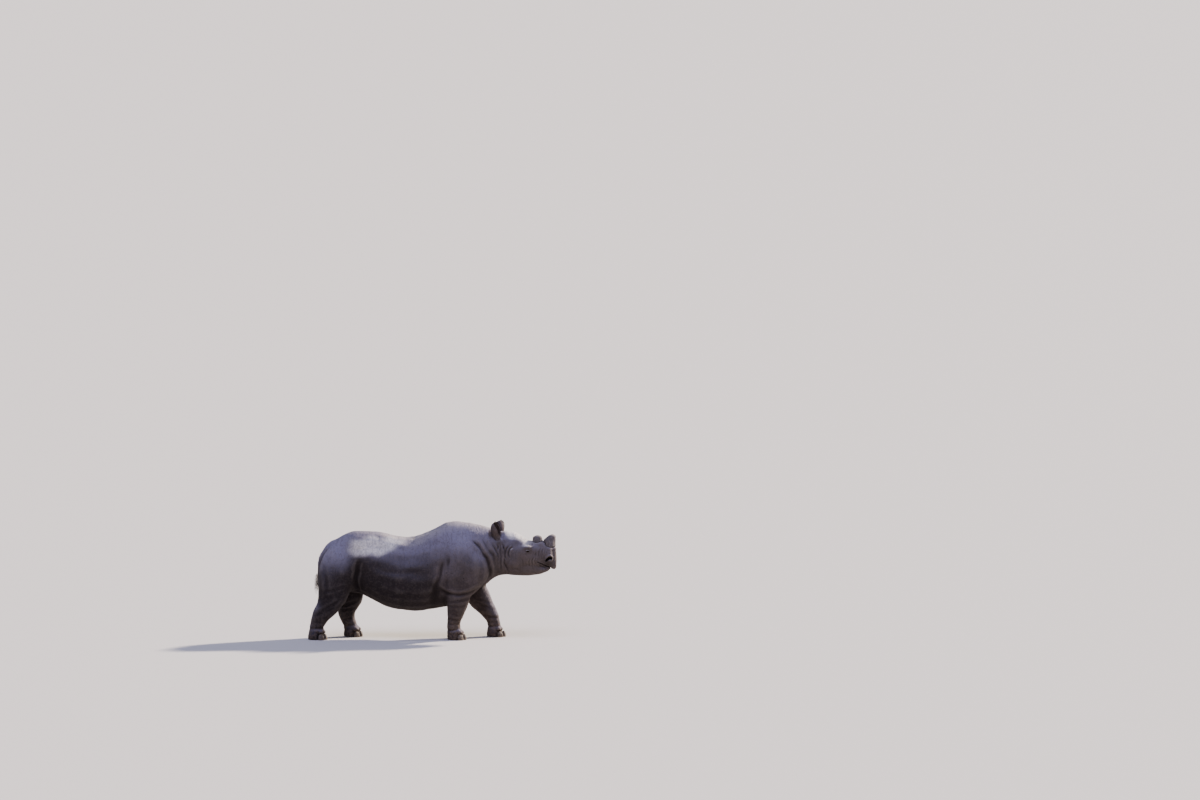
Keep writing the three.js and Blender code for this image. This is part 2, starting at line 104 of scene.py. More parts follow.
def merged_copy(name, *nodes):
    """One new object from copies of the model's nodes, with their loose triangles merged."""
    copies = []
    for node in nodes:
        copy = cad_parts[node].copy()
        copy.data = copy.data.copy()
        copy.parent = None
        for key in list(copy.keys()):
            del copy[key]
        bpy.context.scene.collection.objects.link(copy)
        copies.append(copy)
    select_only(*copies)
    if len(copies) > 1:
        bpy.ops.object.join()
    joined = bpy.context.view_layer.objects.active
    joined.name = name
    joined.data.name = name
    joined.data.materials.clear()
    bpy.ops.object.mode_set(mode="EDIT")
    bpy.ops.mesh.select_all(action="SELECT")
    bpy.ops.mesh.remove_doubles(threshold=0.00005)
    bpy.ops.object.mode_set(mode="OBJECT")
    return joined


def places(obj):
    co = np.zeros(len(obj.data.vertices) * 3, np.float32)
    obj.data.vertices.foreach_get("co", co)
    return co.reshape(-1, 3).astype(float)


def normals(obj):
    out = np.zeros(len(obj.data.vertices) * 3, np.float32)
    obj.data.vertices.foreach_get("normal", out)
    return out.reshape(-1, 3).astype(float)


def place(obj, points):
    obj.data.vertices.foreach_set("co", np.asarray(points, np.float32).ravel())
    obj.data.update()


def edge_ends(obj):
    """The first and the second point of every edge."""
    edges = np.zeros(len(obj.data.edges) * 2, np.int32)
    obj.data.edges.foreach_get("vertices", edges)
    return edges.reshape(-1, 2).T


def relax(obj, weight, times, factor=0.5):
    """Moves each point towards the middle of its neighbours, as far as its weight says."""
    a, b = edge_ends(obj)
    points = places(obj)
    count = np.bincount(np.r_[a, b], minlength=len(points))[:, None]
    share = np.clip(weight, 0, 1)[:, None] * factor
    for _ in range(times):
        total = np.zeros_like(points)
        for axis in range(3):
            total[:, axis] = np.bincount(a, points[b, axis], len(points))
            total[:, axis] += np.bincount(b, points[a, axis], len(points))
        points += (total / np.maximum(count, 1) - points) * share
    place(obj, points)


def hollowness(obj, times, size):
    """How deep each point lies under the smoothed surface: 1 in a fold of that depth, -1 on a ridge."""
    before, facing = places(obj), normals(obj)
    relax(obj, np.ones(len(before)), times)
    depth = ((places(obj) - before) * facing).sum(1)
    place(obj, before)
    return np.clip(depth / size, -1, 1)


def smoothed(obj, values, times):
    """The values, averaged with those of neighbouring points."""
    a, b = edge_ends(obj)
    count = np.maximum(np.bincount(np.r_[a, b], minlength=len(values)), 1)
    for _ in range(times):
        total = np.bincount(a, values[b], len(values)) + np.bincount(b, values[a], len(values))
        values = 0.5 * values + 0.5 * total / count
    return values


def store(obj, name, values):
    """Keeps a number at every point of the mesh, for its finish to read."""
    obj.data.attributes.new(name, "FLOAT", "POINT").data.foreach_set("value", np.asarray(values, np.float32))


def new_piece(name, points, faces):
    """An object in the scene from points in metres and the numbers of each face's corners."""
    mesh = bpy.data.meshes.new(name)
    mesh.from_pydata(points.tolist(), [], faces)
    piece = bpy.data.objects.new(name, mesh)
    bpy.context.scene.collection.objects.link(piece)
    return piece


def report(obj):
    faces = sum(len(p.vertices) - 2 for p in obj.data.polygons)
    print(obj.name, "has", faces, "triangles")


# %% [markdown]
# ## The camera, floor and light
# The animal is seen from its right side, from far away and a little above, through a long lens, so it
# is small in the frame and hardly foreshortened. A low warm key light comes from ahead of it and beyond
# it, and a broad cool light from above, so that its back, brow and the fronts of its legs are bright and
# its near side is in half shade.

# %% Camera
LENS = 0.200
SENSOR = 0.036
FRAME_WIDTH = 16.0  # metres of the scene across the frame, at the animal
DISTANCE = FRAME_WIDTH * LENS / SENSOR
NEAR_END, FAR_END = 1.0, 4000.0
ELEVATION = math.radians(4.5)
AIM = Vector((2.237, 0.0, 3.191))  # the middle of the frame: ahead of the animal and above it


def make_camera():
    data = bpy.data.cameras.new("camera")
    data.lens = LENS * 1000
    data.sensor_width = SENSOR * 1000
    data.clip_start = NEAR_END
    data.clip_end = FAR_END
    camera = bpy.data.objects.new("camera", data)
    bpy.context.scene.collection.objects.link(camera)
    back = Vector((0, -math.cos(ELEVATION), math.sin(ELEVATION)))
    camera.location = AIM + back * DISTANCE
    camera.rotation_euler = (math.pi / 2 - ELEVATION, 0, 0)
    bpy.context.scene.camera = camera
    print("the camera stands", round(DISTANCE, 1), "m away,", round(camera.location.z, 1), "m up")


make_camera()


# %% Colours and a helper for nodes
def linear(code):
    """An sRGB hex colour as the linear values that a node takes."""
    values = [int(code[i : i + 2], 16) / 255 for i in (1, 3, 5)]
    bent = [v / 12.92 if v <= 0.04045 else ((v + 0.055) / 1.055) ** 2.4 for v in values]
    return (*bent, 1.0)


def add(tree, kind, settings=None, **links):
    """A node with its settings. A link is a socket to join, or a value for the input of that name."""
    node = tree.nodes.new(kind)
    for key, value in (settings or {}).items():
        setattr(node, key, value)
    for key, value in links.items():
        socket = node.inputs[int(key[1:]) if key[1:].isdigit() else key.replace("_", " ")]
        if isinstance(value, bpy.types.NodeSocket):
            tree.links.new(value, socket)
        else:
            socket.default_value = value
    return node


def new_material(name, **shader):
    """A material with a Principled shader, whose constant values are set on its own sockets."""
    material = bpy.data.materials.new(name)
    material.use_nodes = True
    tree = material.node_tree
    bsdf = next(n for n in tree.nodes if n.type == "BSDF_PRINCIPLED")
    for key, value in shader.items():
        bsdf.inputs[key.replace("_", " ")].default_value = value
    return material, tree, bsdf


# %% Floor, sky and lamps
FLOOR_SIZE = 3000.0
SKY_COLOUR, SKY_STRENGTH = "#d3daee", 0.34
# [name, the way its light travels, strength, softness in degrees, colour]
LAMPS = [
    ("key", (-0.75, -0.47, -0.46), 9.0, 4, "#fff3e4"),
    ("overhead", (0.05, 0.42, -0.90), 2.5, 50, "#cdd0f5"),
]


def make_floor():
    bpy.ops.object.select_all(action="DESELECT")
    bpy.ops.mesh.primitive_plane_add(size=FLOOR_SIZE, location=(0, 0, 0))
    floor = bpy.context.object
    floor.name = "floor"
    material, _, _ = new_material("pale studio floor", Roughness=0.9, Base_Color=linear("#bdb9b4"))
    floor.data.materials.append(material)


def make_lamp(name, towards, strength, softness, colour):
    data = bpy.data.lights.new(name, "SUN")
    data.energy = strength
    data.angle = math.radians(softness)
    data.color = linear(colour)[:3]
    lamp = bpy.data.objects.new(name, data)
    lamp.rotation_euler = Vector(towards).to_track_quat("-Z", "Y").to_euler()
    bpy.context.scene.collection.objects.link(lamp)


def make_light():
    world = bpy.data.worlds.new("studio")
    bpy.context.scene.world = world
    bpy.context.scene.view_settings.look = "AgX - Medium High Contrast"
    world.use_nodes = True
    background = world.node_tree.nodes["Background"]
    background.inputs["Color"].default_value = linear(SKY_COLOUR)
    background.inputs["Strength"].default_value = SKY_STRENGTH
    for lamp in LAMPS:
        make_lamp(*lamp)


make_floor()
make_light()
print("floor and two lamps are ready")

# %% [markdown]
# ## One skin over the whole body
# The solids are parted where a person would name the parts, but the animal's hide has no seams. Voxel
# remeshing wraps one closed surface round all of the flesh and bridges the thin cuts. The surface is
# then relaxed, most of all where a limb meets the trunk, and the face is subdivided for finer work.

# %% Wrap the flesh in one surface
LIMBS = ("front_right", "front_left", "hind_right", "hind_left")
FLESH = ["head", "lower_jaw", "neck", "trunk", "tail"]
FLESH += [f"leg_{limb}" for limb in LIMBS] + [f"foot_{limb}" for limb in LIMBS]
VOXEL = 0.017


def keep_largest_body(obj):
    """Deletes every loose body of the mesh but the one with the most points."""
    mesh = bmesh.new()
    mesh.from_mesh(obj.data)
    seen, largest = set(), []
    for start in mesh.verts:
        if start in seen:
            continue
        body, edge = [start], [start]
        seen.add(start)
        while edge:
            for link in edge.pop().link_edges:
                for vert in link.verts:
                    if vert not in seen:
                        seen.add(vert)
                        body.append(vert)
                        edge.append(vert)
        if len(body) > len(largest):
            largest = body
    kept = set(largest)
    bmesh.ops.delete(mesh, geom=[v for v in mesh.verts if v not in kept], context="VERTS")
    mesh.to_mesh(obj.data)
    mesh.free()


skin = merged_copy("skin", *FLESH)
apply_modifier(skin, "REMESH", mode="VOXEL", voxel_size=VOXEL, use_smooth_shade=True)
keep_largest_body(skin)
report(skin)


# %% Smooth the facets away without thinning the limbs
def spread_evenly(obj, weight, times):
    """Relaxes the surface and swells it back by turns, which keeps its volume."""
    for _ in range(times):
        relax(obj, weight, 1, factor=0.5)
        relax(obj, weight, 1, factor=-0.52)


def blend_in(values, low, high):
    """0 below low, 1 above high, and smooth between. With low above high it runs the other way."""
    t = np.clip((values - low) / (high - low), 0, 1)
    return t * t * (3 - 2 * t)


x, y, z = canon(places(skin)).T
joints = np.maximum(
    blend_in(np.hypot(x - 25, z - 46), 24, 12),  # shoulder and elbow
    blend_in(np.hypot(x + 72, z - 60), 30, 14),  # hip and stifle
)
plates = np.maximum(
    blend_in(np.hypot((x - 27) / 1.2, z - 86), 22, 10),  # top of the shoulder
    blend_in(np.hypot(x + 82, z - 82), 20, 9),  # rump
)
neck_root = blend_in(abs(x - 58), 9, 4) * blend_in(z, 80, 66)
spread_evenly(skin, np.full(len(x), 1.0), 40)
relax(skin, np.maximum(joints, neck_root), 14)
relax(skin, plates, 40)
relax(skin, blend_in(z, 14, 9), 8)


# %% Sharpen the mesh where finer work comes
def refine(obj, region):
    """Cuts each face whose points all lie in the region into four, then evens them out."""
    inside = region(*canon(places(obj)).T)
    select_only(obj)
    chosen = [all(inside[v] for v in p.vertices) for p in obj.data.polygons]
    bpy.ops.object.mode_set(mode="EDIT")
    bpy.ops.mesh.select_mode(type="FACE")
    bpy.ops.mesh.select_all(action="DESELECT")
    bpy.ops.object.mode_set(mode="OBJECT")
    obj.data.polygons.foreach_set("select", chosen)
    bpy.ops.object.mode_set(mode="EDIT")
    bpy.ops.mesh.subdivide(number_cuts=1, smoothness=0)
    bpy.ops.object.mode_set(mode="OBJECT")
    near = region(*canon(places(obj)).T).astype(float)
    relax(obj, near, 3)


def near_point(x, y, z, centre, reach):
    """True within a reach of a centre, on both sides of the animal."""
    return (x - centre[0]) ** 2 + (abs(y) - centre[1]) ** 2 + (z - centre[2]) ** 2 < reach**2


def near_mouth(x, y, z):
    """True along the line of the mouth."""
    return (abs(z - 66.2 + 0.52 * (x - 89)) < 1.5) & (x > 87.5) & (x < 103) & (abs(y) > 2)


EYE = (81.6, 9.85, 75.4)
NOSTRIL = (99.8, 7.9, 69.0)
refine(skin, lambda x, y, z: (x > 52) | (z < 9.5))
refine(skin, lambda x, y, z: near_point(x, y, z, EYE, 5.5) | near_point(x, y, z, NOSTRIL, 5.5))
refine(skin, lambda x, y, z: near_point(x, y, z, EYE, 2.9))
refine(skin, near_mouth)
report(skin)

# %% [markdown]
# ## Sculpting by strokes
# The hide is modelled like clay. A stroke is a mound round a point, or a fold along a line that is drawn
# in the side view, as a sculptor would draw it on the flank. Strokes add up, then the skin is pressed once.


# %% The strokes
def smooth_line(points, steps=8):
    """A curve through the points (Catmull-Rom)."""
    p = np.asarray(points, float)
    p = np.vstack([2 * p[0] - p[1], p, 2 * p[-1] - p[-2]])
    rows = []
    for a, b, c, d in zip(p[:-3], p[1:-2], p[2:-1], p[3:]):
        for t in np.linspace(0, 1, steps, endpoint=False):
            bend = (2 * a - 5 * b + 4 * c - d) * t**2 + (3 * b - a - 3 * c + d) * t**3
            rows.append(0.5 * (2 * b + (c - a) * t + bend))
    return np.vstack([rows, p[-2]])


def measure(line, u, v):
    """For points (u, v): the distance from a line, with a sign for the side, and the share along it."""
    best = np.full(len(u), 1e9)
    signed = np.zeros(len(u))
    share = np.zeros(len(u))
    lengths = np.hypot(*(line[1:] - line[:-1]).T)
    run = np.r_[0, np.cumsum(lengths)]
    for i, (start, end) in enumerate(zip(line[:-1], line[1:])):
        way = end - start
        t = np.clip(((u - start[0]) * way[0] + (v - start[1]) * way[1]) / lengths[i] ** 2, 0, 1)
        off = np.hypot(u - start[0] - t * way[0], v - start[1] - t * way[1])
        closer = off < best
        turn = way[0] * (v - start[1]) - way[1] * (u - start[0])
        best[closer] = off[closer]
        signed[closer] = (np.sign(turn) * off)[closer]
        share[closer] = ((run[i] + t * lengths[i]) / run[-1])[closer]
    return signed, share


noise.seed_set(5)  # for the sway of the folds, which Blender else seeds from the clock


class Clay:
    """A surface under strokes. Sizes are in units of the canon; side is -1 right, 1 left, 0 both."""

    def __init__(self, obj):
        self.obj = obj
        self.at = canon(places(obj))
        self.facing = normals(obj)
        self.push = np.zeros(len(self.at))
        self.sway = np.array([noise.noise_vector(Vector(p)) for p in self.at / 10.0])

    def on_side(self, side, inner=0.0):
        y = self.at[:, 1]
        return (y * side > inner) if side else (abs(y) > inner)

    def mound(self, centre, radii, height, side=0):
        """A soft swelling, or a hollow if its height is negative."""
        x, y, z = self.at.T
        across = abs(y) if side == 0 else y * side
        off = ((x - centre[0]) / radii[0]) ** 2
        off += ((across - centre[1]) / radii[1]) ** 2 + ((z - centre[2]) / radii[2]) ** 2
        self.push += height * np.exp(-off)

    def fold(self, points, width, depth, side=0, roll=0.45, inner=0.0, fade=0.25):
        """A groove along a line of the side view, with a soft roll of hide on each side of it.
        A pair of rolls may differ: the first is on the line's left. The line sways a little."""
        rolls = roll if isinstance(roll, tuple) else (roll, roll)
        line = smooth_line(points)
        x, _, z = self.at.T
        low, high = line.min(0) - 5 * width, line.max(0) + 5 * width
        near = (x > low[0]) & (x < high[0]) & (z > low[1]) & (z < high[1]) & self.on_side(side, inner)
        sway = self.sway[near]
        off, share = measure(line, x[near] + 0.8 * width * sway[:, 0], z[near] + 0.8 * width * sway[:, 2])
        ends = blend_in(share, 0, fade) * blend_in(share, 1, 1 - fade) * (1 + 0.7 * sway[:, 1])
        shape = -np.exp(-((off / width) ** 2))
        shape += rolls[0] * np.exp(-(((off - 2 * width) / (1.3 * width)) ** 2))
        shape += rolls[1] * np.exp(-(((off + 2 * width) / (1.3 * width)) ** 2))
        self.push[near] += depth * shape * ends

    def grain(self, size, height, mask=1.0, stretch=(1, 1, 1), seed=0.0):
        """Uneven flesh: soft lumps of a given size."""
        where = self.at / (np.asarray(stretch) * size) + seed
        lumps = np.array([noise.noise(Vector(p)) for p in where])
        self.push += height * lumps * mask

    def press(self):
        place(self.obj, places(self.obj) + self.facing * (self.push * UNIT)[:, None])
        self.__init__(self.obj)


print("the strokes are ready")

# %% [markdown]
# ## Trunk, shoulder and rump
# A rhinoceros wears its hide in plates that part at a few deep folds: between neck and shoulder, behind
# the elbow, along the lower border of the upper arm, and in front of the thigh. Between them the flesh is
# broad and taut, and only the blade of the shoulder, the hip bone and a few ribs show through.

# %% Large forms of the trunk
LEG_LEAD = {-1: 0.0, 1: 7.0}  # how far forward the left elbow is carried
THIGH_LEAD = {-1: 0.0, 1: 3.5}  # and the left thigh

clay = Clay(skin)
# [centre, radii, height]
for centre, radii, height in (
    ((27.0, 16, 78), (9.0, 9, 12), 0.35),  # muscle over the shoulder blade
    ((15.5, 18, 70), (5.0, 9, 12), -0.35),  # hollow behind the blade
    ((37.5, 16, 61), (6.0, 8, 7.0), 1.0),  # point of the shoulder
    ((19.0, 18, 55), (8.0, 9, 9.0), 0.9),  # triceps
    ((-47, 17, 80), (15, 8, 6.0), -1.7),  # hollow under the loin
    ((-63, 16, 84), (6.5, 8, 6.0), 1.5),  # hip bone
    ((-74, 15, 78), (7.0, 9, 7.0), -0.6),  # dip between hip and rump
    ((-85, 12, 74), (6.0, 8, 8.0), 0.8),  # rump muscle
    ((-73, 16, 62), (8.0, 9, 12), 0.7),  # thigh
    ((-20, 22, 42), (22, 12, 12), 0.9),  # low round of the belly
    ((42.0, 0, 50), (9.0, 7, 5.0), 1.3),  # brisket
    ((12, 0, 101), (26, 4.5, 8.0), 0.5),  # ridge of the withers
):
    clay.mound(centre, radii, height)
clay.grain(15, 0.55, seed=3.1)
clay.grain(7, 0.22, seed=8.7)
clay.press()


# %% The folds between the plates of hide
def shifted(line, forward):
    return [(x + forward, z) for x, z in line]


# [line in the side view, width, depth, rolls beside it, least distance from the middle]
PLATE_FOLDS = [
    ([(33, 88.5), (35.8, 84.1), (42.8, 75.5), (48.6, 66.2), (50.2, 59), (49, 51)], 1.15, 1.2, (0.55, 0.3), 0),
    ([(40, 90), (46.2, 81), (52.0, 71), (54.0, 62), (53.0, 52)], 1.2, 0.4, 0.45, 0),
    ([(52, 88), (57.0, 78), (58.6, 68), (58.0, 56)], 1.0, 0.55, 0.45, 0),
    ([(47, 92), (51.5, 83), (55.4, 74), (56.4, 64), (55.6, 54)], 0.9, 0.4, 0.45, 0),
    ([(-12, 58.5), (-24, 57.6), (-34, 58.2), (-46, 60.5)], 1.9, 0.18, 0.45, 10),
    ([(-16, 40), (-28, 37.5), (-40, 39.5), (-50, 44)], 1.9, 0.12, 0.45, 10),
]
for line, width, depth, roll, inner in PLATE_FOLDS:
    clay.fold(line, width, depth, roll=roll, inner=inner)
for side in (-1, 1):
    lead, thigh = LEG_LEAD[side] * 0.6, THIGH_LEAD[side]
    back_of_arm = [(12.5, 74), (9.2, 66), (5.8, 52), (3.0, 44), (2.6, 37)]
    under_arm = [(4.5, 46), (10.2, 42.3), (17, 39.9), (24, 39.4), (34.1, 41.6), (45.6, 48.0)]
    front_of_thigh = [(-58, 72), (-62.5, 63), (-64.6, 51), (-63.4, 40), (-58, 31.5)]
    back_of_thigh = [(-88.5, 70), (-91, 60), (-89.5, 48), (-86.5, 39)]
    clay.fold(shifted(back_of_arm, lead), 1.7, 1.1, side, inner=9, roll=(0.1, 0.35), fade=0.5)
    clay.fold(shifted(under_arm, lead), 1.3, 1.0, side, inner=7, roll=(0.6, 0.1))
    clay.mound((2.5 + lead, 16, 36), (4.5, 9, 7.0), -1.8, side)  # armpit
    clay.mound((4.0 + lead, 18, 44), (3.6, 8, 4.5), -1.3, side)  # hollow behind the elbow
    clay.fold(shifted(front_of_thigh, thigh), 1.7, 2.1, side, inner=9, roll=(0.0, 0.15), fade=0.45)
    clay.mound((-60.5 + thigh, 19, 52), (5.0, 9, 13), -0.9, side)  # the flank sinks towards the fold
    clay.fold(shifted(back_of_thigh, thigh), 1.6, 0.3, side, inner=6)
clay.press()
print("the trunk is folded")

# %% [markdown]
# ## Legs and feet
# The legs are pillars. The hide slips down them into rings above each joint, and the foot spreads into
# three toes with a cleft between each pair. The soles stay flat, since they carry the whole weight.

# %% Rings and joints of the legs
RING_REACH = 12
# for each limb: [z of the ring, x where it crosses the leg, slope, depth]
RINGS = {
    "front_right": [
        (34.5, 22.4, 0.16, 0.26), (30.0, 21.8, -0.05, 0.16), (18.6, 19.5, -0.16, 0.30),
        (15.6, 19.0, -0.05, 0.16), (9.8, 18.8, 0.12, 0.30),
    ],
    "front_left": [
        (33.0, 40.5, -0.45, 0.26), (27.5, 44.0, -0.50, 0.16), (18.0, 50.3, -0.25, 0.28),
        (9.8, 52.8, 0.05, 0.30),
    ],
    "hind_right": [
        (44.0, -83.6, 0.30, 0.22), (29.0, -89.0, 0.60, 0.26), (24.5, -92.5, 0.45, 0.18),
        (10.6, -98.7, 0.12, 0.30),
    ],
    "hind_left": [
        (44.0, -72.6, 0.20, 0.22), (29.0, -72.5, 0.30, 0.26), (24.5, -73.3, 0.12, 0.18),
        (10.6, -71.0, 0.08, 0.30),
    ],
}
SIDE = {"front_right": -1, "front_left": 1, "hind_right": -1, "hind_left": 1}
for limb, rings in RINGS.items():
    for height, middle, slope, depth in rings:
        ends = np.linspace(-1, 1, 5) * RING_REACH
        ring = [(middle + run, height - 0.9 * (1 - (run / RING_REACH) ** 2) + run * slope) for run in ends]
        clay.fold(ring, 1.05, depth, SIDE[limb], roll=0.5, inner=3, fade=0.35)
for side, wrist, hock in ((-1, (21.5, 22), (-97, 24)), (1, (48.5, 22), (-77, 24))):
    clay.mound((wrist[0] + 3.5, 13.5, wrist[1] + 1), (3.2, 5, 4.5), 0.45, side)
    clay.mound((wrist[0] - 4.5, 13.5, wrist[1] + 2), (2.6, 4, 3.0), 0.40, side)
    clay.mound((hock[0], 12, hock[1]), (3.0, 4, 4.5), 0.55, side)
clay.press()


# %% Toes
def foot_of(limb):
    """Middle and half sizes of a sole, in the canon."""
    low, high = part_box(f"foot_{limb}")
    low, high = canon([low])[0], canon([high])[0]
    return (low + high) / 2, (high - low) / 2


def round_foot(points, middle, top):
    """True for points near a foot, below a height."""
    x, y, z = points.T
    return (abs(x - middle[0]) < 14) & (abs(y - middle[1]) < 11) & (z < top)


TOE_ANGLES = (0, 58, -58)
CLEFT_ANGLES = (29, -29, 84, -84)
PAD = 4  # height of the pad that is pressed flat
for limb in LIMBS:
    middle, half = foot_of(limb)
    x, y, z = clay.at.T
    near = round_foot(clay.at, middle, 14)
    dx, dy = x[near] - middle[0], (y[near] - middle[1]) * half[0] / half[1]
    angle = np.degrees(np.arctan2(dy, dx))
    low, shin = blend_in(z[near], 8.5, 5.0), blend_in(z[near], 12, 7)
    for cleft in CLEFT_ANGLES:
        depth = 1.05 if abs(cleft) < 50 else 0.45
        clay.push[near] -= depth * np.exp(-(((angle - cleft) / 8) ** 2)) * low
    for toe in TOE_ANGLES:
        over_nail = np.exp(-(((angle - toe) / 20) ** 2) - ((z[near] - 6.9) / 1.5) ** 2)
        clay.push[near] += 0.75 * over_nail * shin
        bed = np.exp(-(((angle - toe) / 19) ** 4)) * blend_in(z[near], 6.0, 4.9)
        clay.push[near] -= 1.3 * bed  # the hide draws back behind the nail
    heel = np.exp(-(((abs(angle) - 180) / 55) ** 2)) * np.exp(-(((z[near] - 2.6) / 2.6) ** 2))
    clay.push[near] += 0.5 * heel
clay.press()
points = places(skin)
for limb in LIMBS:  # the soles come down flat on the floor
    middle, half = foot_of(limb)
    z = canon(points)[:, 2]
    under = round_foot(canon(points), middle, PAD)
    sole = under & (normals(skin)[:, 2] < -0.6) & (z < 2.2)
    lowest = np.percentile(z[sole], 50)
    points[under, 2] = np.maximum((z[under] - lowest) * PAD / (PAD - lowest), 0) * UNIT
    points[sole, 2] = np.minimum(points[sole, 2], 0.15 * UNIT)
place(skin, points)
print("legs and toes are shaped")

# %% [markdown]
# ## The head
# The skull is a long wedge, deep at the jaw and square at the muzzle. The eye is small and low on the
# side, under a heavy brow, and rings of wrinkled hide lie round it. The nostril is a comma in a soft
# raised wing. The upper lip ends in a short hooked tip that can grip twigs, and overhangs the lower one.

# %% Large forms of the head
clay = Clay(skin)
# [centre, radii, height]
for centre, radii, height in (
    ((67.5, 11.5, 66.0), (6.0, 4, 7.0), 0.75),  # chewing muscle
    ((76.5, 11.0, 68.5), (2.6, 4, 6.0), -0.55),  # hollow in front of it
    ((73.0, 10.0, 80.5), (4.5, 4, 3.2), -0.65),  # temple
    ((84.0, 9.0, 72.5), (4.0, 4, 2.0), -0.35),  # under the eye
    ((81.0, 10.0, 79.2), (3.6, 3, 1.5), 0.55),  # brow
    ((91.0, 8.5, 72.5), (4.5, 3, 4.0), -0.45),  # side of the nose bone
    ((98.5, 8.0, 73.2), (3.5, 3, 2.6), 0.35),  # over the nostril
    ((103.6, 4.0, 61.0), (2.4, 4, 2.6), 0.55),  # upper lip, rolled out
    ((97.0, 7.5, 64.2), (4.5, 3, 1.4), 0.55),  # side of the upper lip
    ((95.0, 5.0, 58.6), (4.0, 4, 1.8), 0.45),  # chin
    ((99.3, 2.5, 60.2), (2.2, 3, 1.3), 0.5),  # lower lip
    ((62.0, 9.5, 88.0), (4.0, 3, 3.0), 0.35),  # poll in front of the ear
    ((77.0, 0.0, 56.5), (11, 8, 4.0), 0.9),  # underside of the jaw
):
    clay.mound(centre, radii, height)
clay.grain(5.5, 0.16, mask=blend_in(clay.at[:, 0], 48, 60), seed=5.5)
clay.press()

# %% Mouth, nostrils and the folds of the face
# [line, width, depth, rolls beside it, fade at the ends]
FACE_FOLDS = [
    # the mouth, and three creases behind its corner
    ([(103, 58.8), (100.2, 61.1), (96, 63.1), (92, 64.9), (88.6, 66.4)], 0.36, 1.15, (0.4, 0.3), 0.12),
    ([(88.8, 69.8), (87.5, 67.0), (88.4, 63.6)], 0.5, 0.45, 0.6, 0.25),
    ([(86.6, 70.2), (85.2, 66.8), (86.0, 62.2)], 0.55, 0.35, 0.6, 0.25),
    ([(84.2, 69.6), (82.9, 66.0), (83.4, 61.0)], 0.6, 0.25, 0.6, 0.25),
]
# across the side of the nose: [x, tilt, depth]
FACE_FOLDS += [
    ([(x + tilt, 79), (x, 75), (x - 0.6, 71), (x + 0.2, 67.5)], 0.45, depth, 0.6, 0.25)
    for x, tilt, depth in ((93.8, 1.4, 0.32), (91.4, 1.5, 0.28), (96.0, 0.9, 0.30), (88.8, 1.6, 0.22))
]
FACE_FOLDS += [
    ([(69.6, 79.6), (66.6, 77.2), (65.3, 73.6), (66.2, 69.6)], 0.7, 0.6, 0.55, 0.25),  # behind the cheek
    ([(66.6, 80.6), (63.6, 77.2), (62.4, 72.6), (63.2, 67.6)], 0.8, 0.45, 0.55, 0.25),
    ([(61.5, 71), (61.8, 65), (64.2, 59.5), (66.0, 56.0)], 0.9, 0.55, 0.5, 0.25),  # corner of the jaw
    ([(75.5, 57.4), (71.5, 60.2), (67.0, 60.6)], 0.7, 0.3, 0.5, 0.25),
]
# creases that fan out under the ear: [x, depth]
FACE_FOLDS += [
    ([(x * 0.4 + 34.6, 83.4), (x, 79.5), (x + (x - 58.6) * 0.5, 75.0)], 0.6, depth, 0.5, 0.25)
    for x, depth in ((56.4, 0.35), (58.6, 0.4), (60.8, 0.35))
]
clay = Clay(skin)
for line, width, depth, roll, fade in FACE_FOLDS:
    clay.fold(line, width, depth, roll=roll, fade=fade)
chance = random.Random(7)
# wrinkles: [from x, to x, from z, to z, lean, count, depth]
for low, high, bottom, top, lean, count, depth in (
    (46, 63, 58, 86, -0.22, 44, 0.16),  # loose hide of the neck
    (64, 80, 57, 70, -0.10, 16, 0.10),  # cheek
    (84, 101, 64, 78, -0.20, 26, 0.13),  # side of the muzzle
    (85, 100, 56, 61, -0.60, 12, 0.12),  # chin
):
    for _ in range(count):
        x, z = chance.uniform(low, high), chance.uniform(bottom, top)
        reach, turn = chance.uniform(1.6, 4.2), lean + chance.uniform(-0.2, 0.2)
        bow = chance.uniform(-0.5, 0.5)
        line = [(x - turn * reach, z - reach), (x + bow, z), (x + turn * reach, z + reach)]
        width, deep = chance.uniform(0.42, 0.6), depth * chance.uniform(0.6, 1.3)
        clay.fold(line, width, deep, chance.choice((-1, 1)), roll=0.5)
x, y, z = clay.at.T
# collars: [middle of the horn's foot, its half sizes, height]
for middle, half, height in (((99.9, 79.6), (5.9, 6.4), 0.45), ((89.7, 82.6), (5.0, 5.1), 0.4)):
    around = np.hypot((x - middle[0]) / half[0], y / half[1])  # the collar at the foot of each horn
    collar = np.exp(-(((around - 1.06) / 0.17) ** 2)) * blend_in(z, middle[1] - 4.5, middle[1] - 2.0)
    clay.push += height * collar * (1 + 0.9 * clay.sway[:, 0])
clay.mound((93.0, 4.6, 81.6), (3.2, 2.0, 2.2), 1.1)  # the ridge of hide that joins the two collars
front = blend_in(x, 100.5, 104.5)
clay.push -= 1.7 * blend_in(abs(y), 2.2, 7.2) * front * blend_in(z, 58, 62)  # round in front
clay.push -= 0.6 * blend_in(abs(y), 5.6, 7.4) * blend_in(x, 95, 99) * blend_in(z, 76.2, 78.6)
facing_front = front * blend_in(clay.facing[:, 0], 0.2, 0.6) * blend_in(abs(y), 6.0, 4.2)
LEVELS = ((76.0, 0.22), (73.4, 0.12), (71.6, 0.22), (68.9, 0.16), (67.1, 0.10), (64.6, 0.16), (62.9, 0.12))
for level, depth in LEVELS:  # wrinkles across the front of the muzzle
    off = z - level + 0.5 * (y / 5) ** 2 + 0.9 * clay.sway[:, 1] + 0.25 * np.sin(1.3 * y + level)
    clay.push -= depth * np.exp(-((off / 0.42) ** 2)) * facing_front * (1 + 0.5 * clay.sway[:, 0])
slit = smooth_line([(97.4, 67.0), (98.6, 68.3), (100.2, 69.2), (101.4, 69.0)])
off, share = measure(slit, x, z)
beside = blend_in(abs(y), 3.0, 4.5)
